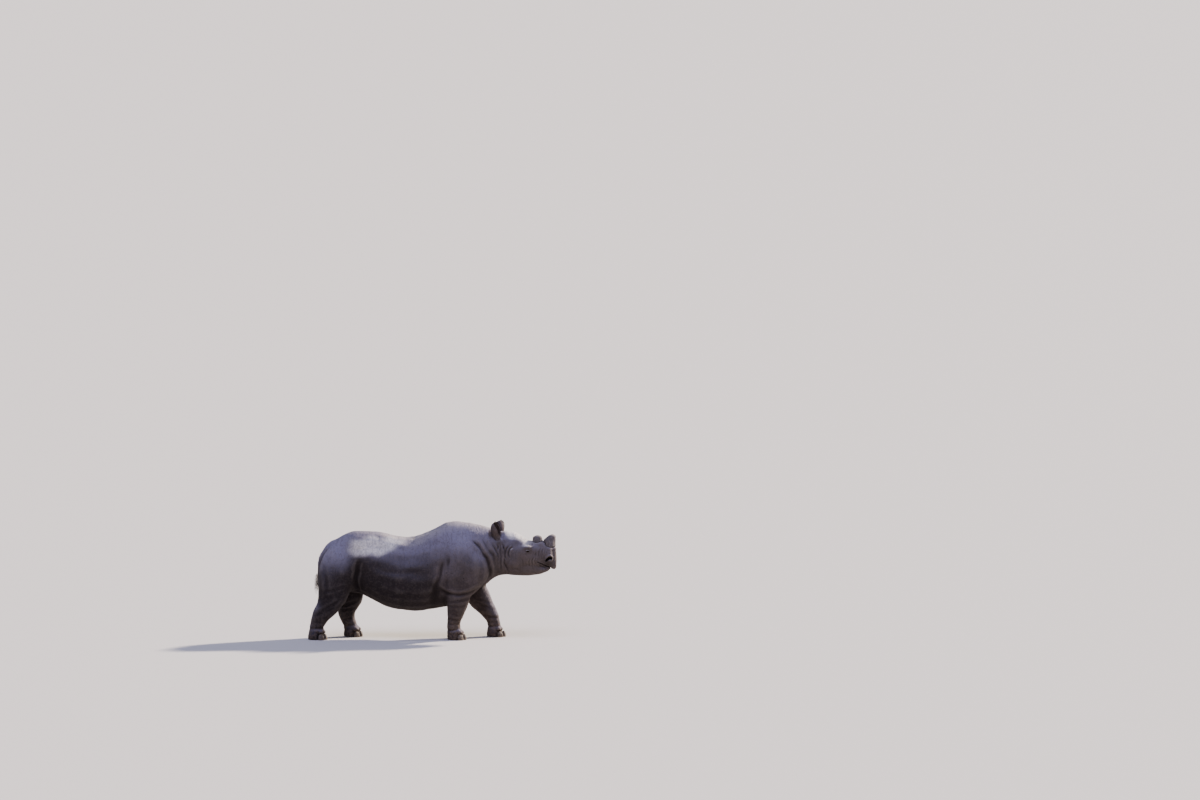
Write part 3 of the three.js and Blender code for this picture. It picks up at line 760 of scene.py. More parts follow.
width = 0.5 + 0.65 * blend_in(share, 0.1, 0.85)
clay.push -= 2.5 * np.exp(-((off / width) ** 4)) * beside  # the nostril itself
clay.push += 0.6 * np.exp(-(((abs(off) - width - 1.0) / 0.7) ** 2)) * beside * blend_in(share, -0.3, 0.5)
x_tip = np.exp(-(((x - 104.2) / 2.6) ** 2) - (y / 3.6) ** 2 - ((z - 59.6) / 2.4) ** 2)
clay.press()
lip = places(skin)
lip[:, 2] -= 1.1 * x_tip * UNIT  # the hooked tip of the upper lip
lip[:, 1] *= 1 - 0.18 * x_tip
place(skin, lip)

# %% [markdown]
# ## Eyelids
# The eyeball is a ball of 38 mm, of which an almond of about 34 by 21 mm shows. The lids are made by
# moving the skin: the points inside the almond sink behind the ball, the rim stands on the ball's
# surface, and rings of loose hide lie round it.

# %% Close the lids round the eyes
EYE_RADIUS = 0.019 / UNIT
EYE_DEPTH = 0.35  # how much deeper the ball sits than in the solids
ALMOND = (1.10, 0.68)  # half width and half height of the opening
SLANT = math.radians(-10)
ROUNDNESS = 1.7  # 2 would be an ellipse, and less is more pointed
# folds round the eye: [distance as a multiple of the opening, depth, 1 above the eye and -1 below it]
LID_FOLDS = [(1.85, 0.20, 1), (2.7, 0.16, 1), (1.8, 0.13, -1), (2.5, 0.16, -1)]
LID_FOLDS += [(3.4, 0.13, -1), (4.3, 0.1, -1)]


def almond(x, z):
    """Coordinates round an eye, and 1 on the rim of the lids: less inside, more outside."""
    u = (x - EYE[0]) * math.cos(SLANT) + (z - EYE[2]) * math.sin(SLANT)
    v = -(x - EYE[0]) * math.sin(SLANT) + (z - EYE[2]) * math.cos(SLANT)
    rim = (abs(u) / ALMOND[0]) ** ROUNDNESS + (abs(v) / ALMOND[1]) ** ROUNDNESS
    return u, v, rim ** (1 / ROUNDNESS)


def from_almond(u, v):
    """Coordinates round an eye, back in the side view."""
    x = EYE[0] + u * math.cos(SLANT) - v * math.sin(SLANT)
    return x, EYE[2] + u * math.sin(SLANT) + v * math.cos(SLANT)


clay = Clay(skin)
x, y, z = clay.at.T
u, v, rim = almond(x, z)
r = np.hypot(u, v)
beside = (abs(y) > 6) & (r < 6)
swell = 0.55 * np.exp(-((r / 1.25) ** 2)) + 0.30 * np.exp(-((r / 3.0) ** 2))
swell += 0.22 * np.exp(-(((rim - 1.35) / 0.28) ** 2)) * (v > 0)
swell += 0.12 * np.exp(-(((rim - 1.30) / 0.25) ** 2)) * (v <= 0)
for ring, depth, over in LID_FOLDS:
    rough = 0.10 * np.sin(2.3 * u + 2 * over) + 0.05 * np.sin(5.9 * u)
    swell -= depth * np.exp(-(((rim - ring + rough) / 0.24) ** 2)) * blend_in(v * over, -0.25, 0.3)
clay.push += np.where(beside, swell, 0)
clay.press()

points = clay.at.copy()
x, y, z = points.T
u, v, rim = almond(x, z)
inside = (abs(y) > 6) & (rim < 1)
spread = np.where(rim < 0.55, rim * 0.88 / 0.55, 0.88 + (rim - 0.55) * 0.12 / 0.45)
grow = (spread / np.maximum(rim, 1e-6))[inside]
u_in, v_in = u[inside] * grow, v[inside] * grow
points[inside, 0], points[inside, 2] = from_almond(u_in, v_in)
ball = EYE[1] - EYE_DEPTH + np.sqrt(np.maximum(EYE_RADIUS**2 - u_in**2 - v_in**2, 0))
sunk = blend_in(spread[inside], 1.0, 0.9)
points[inside, 1] = np.sign(y[inside]) * (abs(y[inside]) * (1 - sunk) + (ball - 0.35) * sunk)
place(skin, metres(points))
report(skin)

# %% [markdown]
# ## Ears
# A rhinoceros ear is a tube that opens into a cup with a thin soft rim. Each is a sheet bent round its
# back: rows of points run from one rim round to the other, outside and inside. It is joined to the skin
# with a Boolean, and the seam is relaxed into a soft fillet.

# %% The sheet of an ear
EAR_ROOT = np.array((56.4, 8.0, 84.5))
EAR_LENGTH = 16.2
EAR_WALL = 0.72
EAR_POSES = {"right": (-1, 12, -11, -13), "left": (1, 24, 5, 24)}  # side, lean, forward and opening, degrees
# [share of the length, half width, half depth, and how far round the sheet reaches from the back, degrees]
EAR_SECTIONS = [
    (0.00, 2.8, 2.7, 158),
    (0.12, 3.3, 3.1, 156),
    (0.25, 4.0, 3.6, 148),
    (0.40, 4.7, 4.1, 138),
    (0.55, 5.1, 4.3, 131),
    (0.70, 5.0, 4.1, 126),
    (0.80, 4.6, 3.7, 120),
    (0.90, 3.9, 3.0, 110),
    (1.00, 2.6, 1.9, 92),
]


def ear_layers():
    """The outside and inside of an ear that stands on the origin and opens forwards, as rows of points,
    the way out from the outside at each, and each row's share of the length."""
    rows = smooth_line(EAR_SECTIONS)
    share = np.sin(np.linspace(0, math.pi / 2, 57))
    wide, deep, reach = (np.interp(share, rows[:, 0], rows[:, i]) for i in (1, 2, 3))
    closing = np.sqrt(1 - np.clip((share - 0.87) / 0.13, 0, 1) ** 2)
    u = np.linspace(-1, 1, 73)
    turn = np.radians(reach)[:, None] * (1.5 * u - 0.5 * u**3)
    back, beside = (deep * closing)[:, None], (wide * closing)[:, None]
    height = share[:, None] * EAR_LENGTH + 0 * turn
    outer = np.stack([-back * np.cos(turn), beside * np.sin(turn), height], 2)
    out = np.cross(np.gradient(outer, axis=0), np.gradient(outer, axis=1))
    out /= np.maximum(np.linalg.norm(out, axis=2, keepdims=True), 1e-9)
    out[-1] = (0, 0, 1)
    ribs = 0.25 * np.cos(4.5 * turn) ** 2 * (blend_in(share, 0.2, 0.4) * blend_in(share, 0.95, 0.7))[:, None]
    wall = (EAR_WALL * (1 + 1.2 * (1 - share) ** 3))[:, None] + ribs * blend_in(abs(u), 0.7, 0.5)
    wall = wall * np.sqrt(1 - u**6) * np.sqrt(1 - np.clip((share - 0.6) / 0.4, 0, 1) ** 6)[:, None]
    return outer, outer - out * wall[..., None], out, share


def in_pose(vectors, pose, root=True):
    """Points or directions of the standing ear, turned into its place on the head, in the canon."""
    side, lean, forward, opening = pose
    turn = Matrix.Rotation(math.radians(-side * lean), 3, "X")
    turn @= Matrix.Rotation(math.radians(forward), 3, "Y")
    turn @= Matrix.Rotation(math.radians(opening), 3, "Z")
    return vectors @ np.array(turn).T + (EAR_ROOT * [1, side, 1] if root else 0)


def make_ear(name):
    outer, inner, _, _ = ear_layers()
    rows, columns = outer.shape[:2]
    count = rows * columns
    verts = in_pose(np.vstack([outer.reshape(-1, 3), inner.reshape(-1, 3)]), EAR_POSES[name])
    faces = []
    for i in range(rows - 1):
        for j in range(columns - 1):
            k = i * columns + j
            faces.append((k, k + columns, k + columns + 1, k + 1))
            faces.append((count + k, count + k + 1, count + k + columns + 1, count + k + columns))
    faces += [(j, j + 1, count + j + 1, count + j) for j in range(columns - 1)]
    ear = new_piece(f"ear_sheet_{name}", metres(verts), faces)
    select_only(ear)
    bpy.ops.object.mode_set(mode="EDIT")
    bpy.ops.mesh.select_all(action="SELECT")
    bpy.ops.mesh.remove_doubles(threshold=1e-5)
    bpy.ops.mesh.normals_make_consistent(inside=False)
    bpy.ops.object.mode_set(mode="OBJECT")
    bpy.ops.object.shade_smooth()
    clay = Clay(ear)
    clay.grain(3.0, 0.16, seed=4.2)
    clay.press()
    return ear


# %% Join the ears to the skin
def along_ear(points):
    """For points of the canon: how far up the nearer ear, from 0 at its root to 1 at its tip, and how
    far from the line between the two."""
    share, off = np.zeros(len(points)), np.full(len(points), 99.0)
    for pose in EAR_POSES.values():
        root, tip = in_pose(np.array([(0, 0, 0), (0, 0, EAR_LENGTH)]), pose)
        way = tip - root
        t = ((points - root) @ way) / (way @ way)
        beside = np.linalg.norm(points - root - np.clip(t, 0, 1.1)[:, None] * way, axis=1)
        closer = beside < off
        share[closer], off[closer] = t[closer], beside[closer]
    return share, off


clay = Clay(skin)
clay.mound((56.6, 8.4, 84.6), (4.6, 3.8, 3.8), 1.5)  # the knob that carries an ear
clay.press()
for name in EAR_POSES:
    ear = make_ear(name)
    report(ear)
    apply_modifier(skin, "BOOLEAN", operation="UNION", solver="MANIFOLD", object=ear)
    bpy.data.objects.remove(ear)
share, off = along_ear(canon(places(skin)))
relax(skin, blend_in(off, 7, 5) * blend_in(share, 0.24, 0.12) * blend_in(share, -0.3, -0.1), 14)
report(skin)

# %% [markdown]
# ## Eyes, horn stumps and nails
# The eye is a wet ball. The horns of this animal are sawn off, as rangers do against poachers: what is
# left of each is a stump of packed fibres, wide at its foot and worn round at the top. A nail is a broad
# dome of horn on each toe, ridged by growth and chipped where it meets the ground.


# %% Eyeballs
GAZE_AHEAD = math.radians(14)
CORNEA = 0.0016  # metres that it stands out


def make_eyes():
    balls = []
    for side in (-1, 1):
        centre = at(EYE[0], side * (EYE[1] - EYE_DEPTH), EYE[2])
        bpy.ops.object.select_all(action="DESELECT")
        radius = EYE_RADIUS * UNIT
        bpy.ops.mesh.primitive_uv_sphere_add(segments=48, ring_count=32, radius=radius, location=centre)
        ball = bpy.context.object
        ball.rotation_euler = (math.radians(-90 * side), 0, -GAZE_AHEAD * side)
        balls.append(ball)
    select_only(*balls)
    bpy.ops.object.transform_apply(location=True, rotation=True, scale=True)
    bpy.ops.object.join()
    eyes = bpy.context.object
    eyes.name = eyes.data.name = "eyes"
    points = places(eyes)
    x, y, z = canon(points).T
    side = np.sign(y)
    gaze = np.stack([0 * x + math.sin(GAZE_AHEAD), side * math.cos(GAZE_AHEAD), 0 * x], 1)
    from_centre = np.stack([x - EYE[0], y - side * (EYE[1] - EYE_DEPTH), z - EYE[2]], 1) / EYE_RADIUS
    ahead = (from_centre * gaze).sum(1)
    points += gaze * (CORNEA * blend_in(ahead, 0.72, 1.0))[:, None]
    place(eyes, points)
    store(eyes, "gaze", ahead)
    bpy.ops.object.shade_smooth()
    return eyes


eyes = make_eyes()
report(eyes)


# %% Horn stumps
def make_stump(name, node, voxel):
    """A stump of horn, grained along its length, with a worn top and its foot tucked under the hide."""
    stump = merged_copy(name, node)
    apply_modifier(stump, "REMESH", mode="VOXEL", voxel_size=voxel, use_smooth_shade=True)
    keep_largest_body(stump)
    spread_evenly(stump, np.ones(len(stump.data.vertices)), 20)
    points = canon(places(stump))
    x, y, z = points.T
    share = (z - z.min()) / (z.max() - z.min())
    middle = (x.max() + x.min()) / 2
    tucked = 1 - 0.08 * blend_in(share, 0.10, 0.0)
    points[:, 0] = middle + (x - middle) * tucked
    points[:, 1] *= tucked
    place(stump, metres(points))
    clay = Clay(stump)
    top = blend_in(share, 0.86, 0.97) * blend_in(clay.facing[:, 2], 0.5, 0.9)
    steep = blend_in(abs(clay.facing[:, 2]), 0.75, 0.35)
    clay.grain(0.45, 0.08, mask=steep, stretch=(1, 1, 14), seed=2.2)  # packed fibres
    clay.grain(1.5, 0.12, mask=steep, stretch=(1, 1, 6), seed=6.4)
    clay.grain(1.4, 0.08, mask=1 - steep, seed=4.4)  # the worn top
    clay.grain(3.6, 0.35, seed=9.1)
    clay.press()
    relax(stump, top, 6)
    report(stump)
    return stump


front_stump = make_stump("horn_front", "horn_front_stump", 0.0042)
rear_stump = make_stump("horn_rear", "horn_rear_stump", 0.0040)


# %% Nails
NAIL_SIZE = (1.62, 2.75, 4.7)  # half depth, half width and height of the dome
FULLNESS = 2.7  # 2 is a plain dome, and more is squarer
OFF_FLOOR = 0.0015  # metres, so that the pads carry the weight


def make_nail(limb, number, angle):
    """A squarish dome on the front of a toe, flat below and a little chipped round its foot."""
    bpy.ops.object.select_all(action="DESELECT")
    bpy.ops.mesh.primitive_uv_sphere_add(segments=64, ring_count=40, radius=1)
    nail = bpy.context.object
    dome = places(nail)
    dome /= ((abs(dome) ** FULLNESS).sum(1) ** (1 / FULLNESS))[:, None]
    low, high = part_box(f"nail_{limb}_{number}")
    middle = canon([(low + high) / 2])[0]
    turn = math.radians(angle)
    up = np.maximum(dome[:, 2], 0) * NAIL_SIZE[2]
    ahead = dome[:, 0] * NAIL_SIZE[0] - 0.55 * (up / NAIL_SIZE[2]) ** 1.5  # it leans back into the toe
    across = dome[:, 1] * NAIL_SIZE[1] * (1 - 0.06 * (up / NAIL_SIZE[2]))
    along_x = ahead * math.cos(turn) - across * math.sin(turn)
    points = np.stack([along_x, ahead * math.sin(turn) + across * math.cos(turn), up], 1)
    place(nail, metres(points + [middle[0], middle[1], low.z / UNIT]))
    clay = Clay(nail)
    x, y, z = clay.at.T
    sides = blend_in(clay.facing[:, 2], -0.5, 0.0)
    clay.push += np.sin(z * 8 + 0.8 * np.sin(x * 1.7 + y)) * 0.016 * sides  # growth ridges
    clay.grain(1.3, 0.16, mask=sides, seed=1.7 + number)
    clay.grain(0.5, 0.10, mask=sides * blend_in(z, 1.2, 0.3), stretch=(1, 1, 3), seed=5.1 + number)
    clay.press()
    points = places(nail)
    points[:, 2] = np.maximum(points[:, 2], OFF_FLOOR)
    place(nail, points)
    bpy.ops.object.shade_smooth()
    return nail


def make_nails(limb):
    parts = [make_nail(limb, i + 1, angle) for i, angle in enumerate(TOE_ANGLES)]
    select_only(*parts)
    bpy.ops.object.join()
    nails = bpy.context.object
    nails.name = nails.data.name = f"nails_{limb}"
    report(nails)
    return nails


nails = {limb: make_nails(limb) for limb in LIMBS}

# %% [markdown]
# ## Fields on the skin that the finish reads
# Dust and painted skylight lie on what faces up, painted sunlight on the loin and the brow, dirt and
# painted shade gather in the folds, the legs wrinkle across and the trunk wrinkles round. Each of these
# is a number at every point of the skin, worked out from its shape.


# %% Store the fields
x, y, z = canon(places(skin)).T
facing = normals(skin)
slope = smoothed(skin, facing[:, 2], 40)
limb_share = blend_in(z, 46, 30) * blend_in(x, 62, 55)
sway = Clay(skin).sway
x_s, z_s = x + 3 * sway[:, 0], z + 3 * sway[:, 2]
# painted sunlight: a pale patch where low light would graze the hollow of the loin, below the shadow of the
# spine
loin_floor = 84 - 11 * np.clip((-22 - x_s) / 24, 0, 1) ** 0.8
loin = blend_in(z_s, loin_floor - 3, loin_floor + 3) * blend_in(z_s, 89, 83)
loin *= blend_in(x_s, -16, -34) * blend_in(x_s, -75, -62) * blend_in(slope, -0.1, 0.35)
loin *= np.where(y > 0, 0.45, 1.0)  # the painted sunlight is weaker on the left side
# painted shade, with some grime, round the mouth and in armpit and groin
armpit = np.exp(-(((x - 3.5) / 5.0) ** 2) - (((z - 41) / 9.0) ** 2))
groin = np.exp(-(((x + 62) / 4.8) ** 2) - (((z - 46) / 15.0) ** 2))
round_mouth = np.exp(-(((x - 98.5) / 4.5) ** 2) - (((z - 64.0) / 3.4) ** 2))
u, v, rim = almond(x, z)
eye_edge = np.where(abs(y) > 6, blend_in(rim, 1.35, 1.0), 0)
slit_off, slit_share = measure(slit, x, z)
nostril = np.where(abs(y) > 3, blend_in(abs(slit_off), 1.5, 0.8), 0)
lips = 0.7 * blend_in(x, 89, 92) * np.exp(-(((z - (66.2 - 0.46 * (x - 89))) / 0.45) ** 2))
ear_share, ear_off = along_ear(canon(places(skin)))
ear_height = blend_in(ear_share, 0.15, 0.4) * blend_in(ear_off, 7.5, 6.5)
store(skin, "hollow", smoothed(skin, hollowness(skin, 10, 0.0035), 1))
store(skin, "broad_hollow", smoothed(skin, hollowness(skin, 60, 0.012), 3))
store(skin, "upward", 0.5 * facing[:, 2] + 0.5 * slope)
store(skin, "limb", limb_share)
store(skin, "moist", np.clip(eye_edge + nostril + lips, 0, 1))
store(skin, "ear", ear_height)
# the brow, where it faces up, gets a patch of painted sunlight too
forehead = blend_in(facing[:, 2], 0.35, 0.75) * blend_in(x, 61, 67) * blend_in(x, 86, 80) * (1 - ear_height)
store(skin, "painted_sunlight", np.maximum(loin, forehead))
store(skin, "shade_and_grime", np.maximum(0.7 * round_mouth, 0.85 * np.maximum(armpit, groin) * (abs(y) > 6)))
store(skin, "face", blend_in(x, 66, 84))
print("fields are stored")

# %% [markdown]
# ## The hide
# Black rhinoceros hide is grey, but it takes the colour of the last wallow and the local dust. It is
# dry and matt. Deep creases part it into plates, fine cracks part those into scales a centimetre wide,
# and round the legs and neck the creases run across like rings.
# Part of its colour is painted light: skylight on what faces up, sunlight on loin and brow, and shade in the
# folds, under the belly, on the lower flank and in armpit and groin.


# %% A helper for finishes
def paint(value):
    """A colour for a node: a hex code is turned into linear values, and a socket stays as it is."""
    return linear(value) if isinstance(value, str) else value


class Finish:
    """A material under way, with short names for the nodes of its finish. Sizes are in millimetres."""

    def __init__(self, name, **shader):
        self.material, self.tree, self.bsdf = new_material(name, **shader)
        self.spot = self.add("ShaderNodeTexCoord").outputs["Object"]

    def add(self, kind, settings=None, **links):
        return add(self.tree, kind, settings, **links)

    def axis(self, name):
        """Metres along an axis of the model."""
        return self.add("ShaderNodeSeparateXYZ", Vector=self.spot).outputs[name]

    def mix(self, share, first, second):
        """From the first colour to the second as the share rises."""
        sockets = {"_0": share, "_6": paint(first), "_7": paint(second)}
        return self.add("ShaderNodeMix", {"data_type": "RGBA"}, **sockets).outputs[2]

    def blend(self, share, first, second):
        """The same for plain values."""
        return self.add("ShaderNodeMix", _0=share, _2=first, _3=second).outputs[0]

    def maths(self, operation, first, second=0.5, third=0.5):
        return self.add("ShaderNodeMath", {"operation": operation}, _0=first, _1=second, _2=third).outputs[0]

    def times(self, first, *others):
        for other in others:
            first = self.maths("MULTIPLY", first, other)
        return first

    def between(self, value, low, high, to_low=0.0, to_high=1.0):
        """The value, stretched from one range to another and held inside it."""
        ranges = {"From_Min": low, "From_Max": high, "To_Min": to_low, "To_Max": to_high}
        node = self.add("ShaderNodeMapRange", {"interpolation_type": "SMOOTHSTEP"}, Value=value, **ranges)
        return node.outputs["Result"]

    def field(self, name):
        return self.add("ShaderNodeAttribute", {"attribute_name": name}).outputs["Fac"]

    def stretched(self, where, size):
        """Coordinates in which a feature of that size, one for all axes or one for each, is one unit."""
        sizes = (size,) * 3 if isinstance(size, (int, float)) else size
        return self.add("ShaderNodeMapping", Vector=where, Scale=[1000 / s for s in sizes]).outputs[0]

    def patches(self, where, size, detail=3.0, rough=0.55):
        """A soft noise with lumps of that size, from 0 to 1."""
        look = {"Scale": 1.0, "Detail": detail, "Roughness": rough}
        return self.add("ShaderNodeTexNoise", Vector=self.stretched(where, size), **look).outputs["Fac"]

    def cracks(self, where, size, width=0.12):
        """0 in the cracks between cells of that size and 1 on the cells."""
        kind = {"feature": "DISTANCE_TO_EDGE"}
        edge = self.add("ShaderNodeTexVoronoi", kind, Vector=self.stretched(where, size), Scale=1.0)
        return self.between(edge.outputs["Distance"], 0.0, width)

    def creases(self, where, size, width, apart=0.0):
        """0 in long wandering creases and 1 between them: the level line of a soft noise of that size."""
        where = self.add("ShaderNodeVectorMath", {"operation": "ADD"}, _0=where, _1=(apart,) * 3).outputs[0]
        off = self.maths("SUBTRACT", self.patches(where, size, 2.0, 0.45), 0.5)
        return self.between(self.maths("ABSOLUTE", off), 0.0, width)

    def sores(self, where, size, radius):
        """1 in small round spots, one in about half of the cells of that size."""
        cells = self.add("ShaderNodeTexVoronoi", Vector=self.stretched(where, size), Scale=1.0)
        kept = self.add("ShaderNodeSeparateXYZ", Vector=cells.outputs["Color"]).outputs["X"]
        spot = self.between(cells.outputs["Distance"], radius, radius * 0.5)
        return self.times(spot, self.maths("GREATER_THAN", kept, 0.5))

    def join(self, value, name):
        self.tree.links.new(value, self.bsdf.inputs[name])

    def relief(self, height, strength, depth):
        """Bump that is that many metres deep."""
        bump = self.add("ShaderNodeBump", Strength=strength, Distance=depth, Height=height)
        self.join(bump.outputs[0], "Normal")


# %% Hide
def make_hide():
    f = Finish("dry wrinkled rhinoceros hide", Specular_IOR_Level=0.32)
    drift = f.add("ShaderNodeTexNoise", Vector=f.spot, Scale=11.0, Detail=3.0).outputs["Color"]
    bend = {"_0": drift, "_1": (0.045,) * 3, "_2": f.spot}
    wavy = f.add("ShaderNodeVectorMath", {"operation": "MULTIPLY_ADD"}, **bend).outputs[0]
    names = ("hollow", "broad_hollow", "limb", "moist", "painted_sunlight", "face", "ear", "shade_and_grime")
    hollow, broad, limb, moist, painted_sunlight, face, ear, shade_and_grime = (f.field(name) for name in names)
    upward = f.times(f.field("upward"), f.maths("MULTIPLY_ADD", ear, -0.8, 1.0))
    along, level, between, times = f.axis("X"), f.axis("Z"), f.between, f.times

    # relief: long creases round the trunk and across the legs, plates between them, scales and pores
    creases = f.blend(limb, f.creases(wavy, (60, 230, 190), 0.045), f.creases(wavy, (170, 170, 34), 0.06))
    crossing = f.creases(wavy, (120, 90, 62), 0.035, apart=7.0)
    plates = f.cracks(wavy, (21, 30, 27), 0.10)
    scales = f.cracks(wavy, (8, 10, 10), 0.30)
    wrinkles = f.blend(limb, f.patches(wavy, (30, 140, 120), 2.0), f.patches(wavy, (120, 120, 24), 2.0))
    pores = f.patches(f.spot, 3.5, 3.0, 0.7)
    height = times(creases, between(face, 0.0, 1.0, 0.60, 0.25))
    for layer, weight in (
        (crossing, 0.38),
        (plates, between(face, 0.0, 1.0, 0.26, 0.18)),
        (scales, 0.26),
        (wrinkles, between(face, 0.0, 1.0, 2.1, 1.1)),
        (pores, 0.34),
    ):
        height = f.maths("MULTIPLY_ADD", layer, weight, height)
    f.relief(height, f.maths("MULTIPLY_ADD", ear, -0.5, 0.85), 0.0034)

    # where each colour lies
    mottle = f.patches(f.spot, 280, 5.0, 0.6)
    speckle = f.patches(wavy, 26, 4.0, 0.65)
    # flank and thigh: dried wallow and painted shade; hump, neck and rump: dust and painted lilac skylight
    wallow_and_shade = times(between(along, 0.15, -0.10), between(level, 1.27, 1.02), 0.84)
    forehand = times(between(along, -0.15, 0.30), between(level, 1.03, 1.32))
    forehand = times(forehand, between(along, 0.72, 0.40, 0.12, 0.45))
    rump = times(between(along, -1.02, -1.22, 0.0, 0.36), between(level, 0.85, 1.10))
    above = times(between(upward, 0.5, 0.98), between(mottle, 0.3, 0.6, 0.4, 1.0))
    above = times(above, between(along, -1.05, -0.55, 0.15, 1.0), 0.6)
    mud = times(between(level, 0.42, 0.04), between(speckle, 0.35, 0.62), 0.45)
    away_from_creases = times(between(creases, 0.0, 1.0, 0.4, 1.0), between(crossing, 0.0, 1.0, 0.65, 1.0))
    away_from_creases = times(away_from_creases, between(plates, 0.0, 1.0, 0.75, 1.0), between(scales, 0.0, 1.0, 0.72, 1.0))
    dark_in_creases = times(f.maths("SUBTRACT", 1.0, away_from_creases), between(speckle, 0.3, 0.7, 0.15, 0.50))
    behind = times(between(along, 0.62, 0.45), between(level, 0.42, 0.56))
    behind = times(behind, between(level, 1.12, 0.98, 0.0, 0.75))
    colour = f.mix(between(mottle, 0.35, 0.65), "#463e3d", "#584f50")
    for share, code in (
        (between(level, 1.05, 0.30), "#382d2b"),  # brown towards the feet
        (wallow_and_shade, "#231b1d"),  # dried wallow and painted shade on flank and thigh
        (between(upward, -0.1, -0.8, 0.0, 0.4), "#2a201e"),  # painted shade on the underside
        (between(upward, -0.05, 0.62, 0.0, 0.75), "#7b7789"),  # fine dust, with painted lilac skylight, on what faces up
        (forehand, "#8a869b"),  # more dust and painted skylight on hump and neck
        (rump, "#928ea2"),  # more dust and painted skylight on the rump
        (between(speckle, 0.40, 0.72, 0.0, 0.20), "#857b77"),  # scuffs
        (above, "#b0a8a2"),  # coarse dust along the spine
        (times(painted_sunlight, between(speckle, 0.30, 0.60, 0.42, 0.95)), "#d8d2ce"),  # painted sunlight: pale patches on loin and brow
        (mud, "#7d6a58"),  # mud on the feet
        (times(face, 0.35), "#685d59"),  # browner muzzle
        (times(ear, 0.6), "#51443f"),  # brown ears
        (shade_and_grime, "#1f1716"),  # painted shade with some grime: lips, armpit and groin
        (dark_in_creases, "#2b2321"),  # darker in the creases and cracks
        (times(behind, f.sores(wavy, 75, 0.11)), "#1b1414"),  # sores behind the shoulder
        (between(hollow, 0.10, 1.0, 0.0, 0.5), "#271f1e"),  # painted shade in sharp folds
        (between(broad, 0.15, 0.9, 0.0, 0.4), "#241c1c"),  # painted shade in broad folds
        (between(hollow, -0.15, -0.9, 0.0, 0.12), "#978c86"),  # rubbed ridges
        (moist, "#1c1412"),  # rims of eyes, nostrils and lips
    ):
        colour = f.mix(share, colour, code)
    f.join(colour, "Base Color")
    f.join(f.maths("MULTIPLY_ADD", moist, -0.38, between(speckle, 0.3, 0.7, 0.66, 0.9)), "Roughness")
    return f.material


skin.data.materials.clear()  # the Boolean leaves an empty slot
skin.data.materials.append(make_hide())
skin.data.polygons.foreach_set("material_index", [0] * len(skin.data.polygons))
points = places(skin)
print("the soles reach down to", round(float(points[:, 2].min()) * 1000, 2), "mm")
points[:, 2] = np.maximum(points[:, 2], 0)
place(skin, points)


# %% Eyes, horn and nails
def make_eye_finish():
    f = Finish("wet dark brown eye", Roughness=0.05, IOR=1.34)
    gaze = f.field("gaze")
    iris = f.mix(f.between(f.patches(f.spot, (1.2, 6, 1.2), 3.0), 0.35, 0.65), "#2b1a10", "#573620")
    colour = f.mix(f.between(f.patches(f.spot, 3), 0.4, 0.6), "#4a342b", "#6d5145")
    for edge, soft_edge, ring in ((0.80, 0.83, "#120a07"), (0.835, 0.87, iris), (0.955, 0.965, "#040303")):
        colour = f.mix(f.between(gaze, edge, soft_edge), colour, ring)
    f.join(colour, "Base Color")
    return f.material


def make_horn_finish():
    f = Finish("fibrous weathered horn", Specular_IOR_Level=0.35)
    fibre = f.patches(f.spot, (3.5, 3.5, 70), 4.0, 0.6)
    coarse = f.patches(f.spot, (14, 14, 120), 3.0)
    colour = f.mix(f.between(fibre, 0.35, 0.65), "#4a4445", "#6e6669")
    for share, code in (
        (f.between(coarse, 0.45, 0.7, 0.0, 0.45), "#7b726c"),  # bundles of fibre
        (f.between(f.patches(f.spot, 60, 4.0), 0.45, 0.7, 0.0, 0.5), "#4d4748"),  # stains
        (f.between(f.field("top"), 0.3, 0.9, 0.0, 0.5), "#958c84"),  # the sawn and worn top
    ):
        colour = f.mix(share, colour, code)
    f.join(colour, "Base Color")
    f.relief(f.maths("MULTIPLY_ADD", coarse, 1.2, fibre), 0.7, 0.0018)
    f.join(f.between(fibre, 0.3, 0.7, 0.62, 0.85), "Roughness")
    return f.material


def make_nail_finish():
    f = Finish("worn toe nail", Specular_IOR_Level=0.4)
    layers = f.patches(f.spot, (60, 60, 4), 3.0)
    scuffs = f.patches(f.spot, (5, 5, 9), 4.0, 0.7)
    colour = f.mix(f.between(layers, 0.35, 0.65), "#433a35", "#685d54")
    colour = f.mix(f.between(scuffs, 0.5, 0.72, 0.0, 0.6), colour, "#8b7f72")
    colour = f.mix(f.between(f.axis("Z"), 0.030, 0.004, 0.0, 0.5), colour, "#7b6b5c")  # dust at the floor
    f.join(colour, "Base Color")
    f.relief(f.maths("MULTIPLY_ADD", layers, 0.8, scuffs), 0.6, 0.0012)
    f.join(f.between(scuffs, 0.3, 0.7, 0.5, 0.78), "Roughness")
    return f.material


eyes.data.materials.append(make_eye_finish())
horn_finish, nail_finish = make_horn_finish(), make_nail_finish()
for stump in (front_stump, rear_stump):
    x, y, z = canon(places(stump)).T
    store(stump, "top", blend_in(z, z.max() - 1.6, z.max() - 0.4) * blend_in(normals(stump)[:, 2], 0.3, 0.8))
    stump.data.materials.append(horn_finish)
for piece in nails.values():
    piece.data.materials.append(nail_finish)

# %% [markdown]
# ## Hair
# A rhinoceros is nearly bare. Hair is left in three places: a fringe round each ear, lashes, and two
# rows of stiff bristles at the end of the tail. Each hair is a thin three-sided spike of solid mesh.
# Its map lays a small patch at the place of its root on the unrolled ear, tail or lid.


# %% Tufts
CORNERS = 3  # of a hair's section
RINGS_OF_HAIR = ((0.0, 1.0), (0.45, 0.75), (0.8, 0.4), (1.0, 0.0))  # share of the length, share of the width
MAP_PATCH = 0.003  # size of a hair's patch on its map


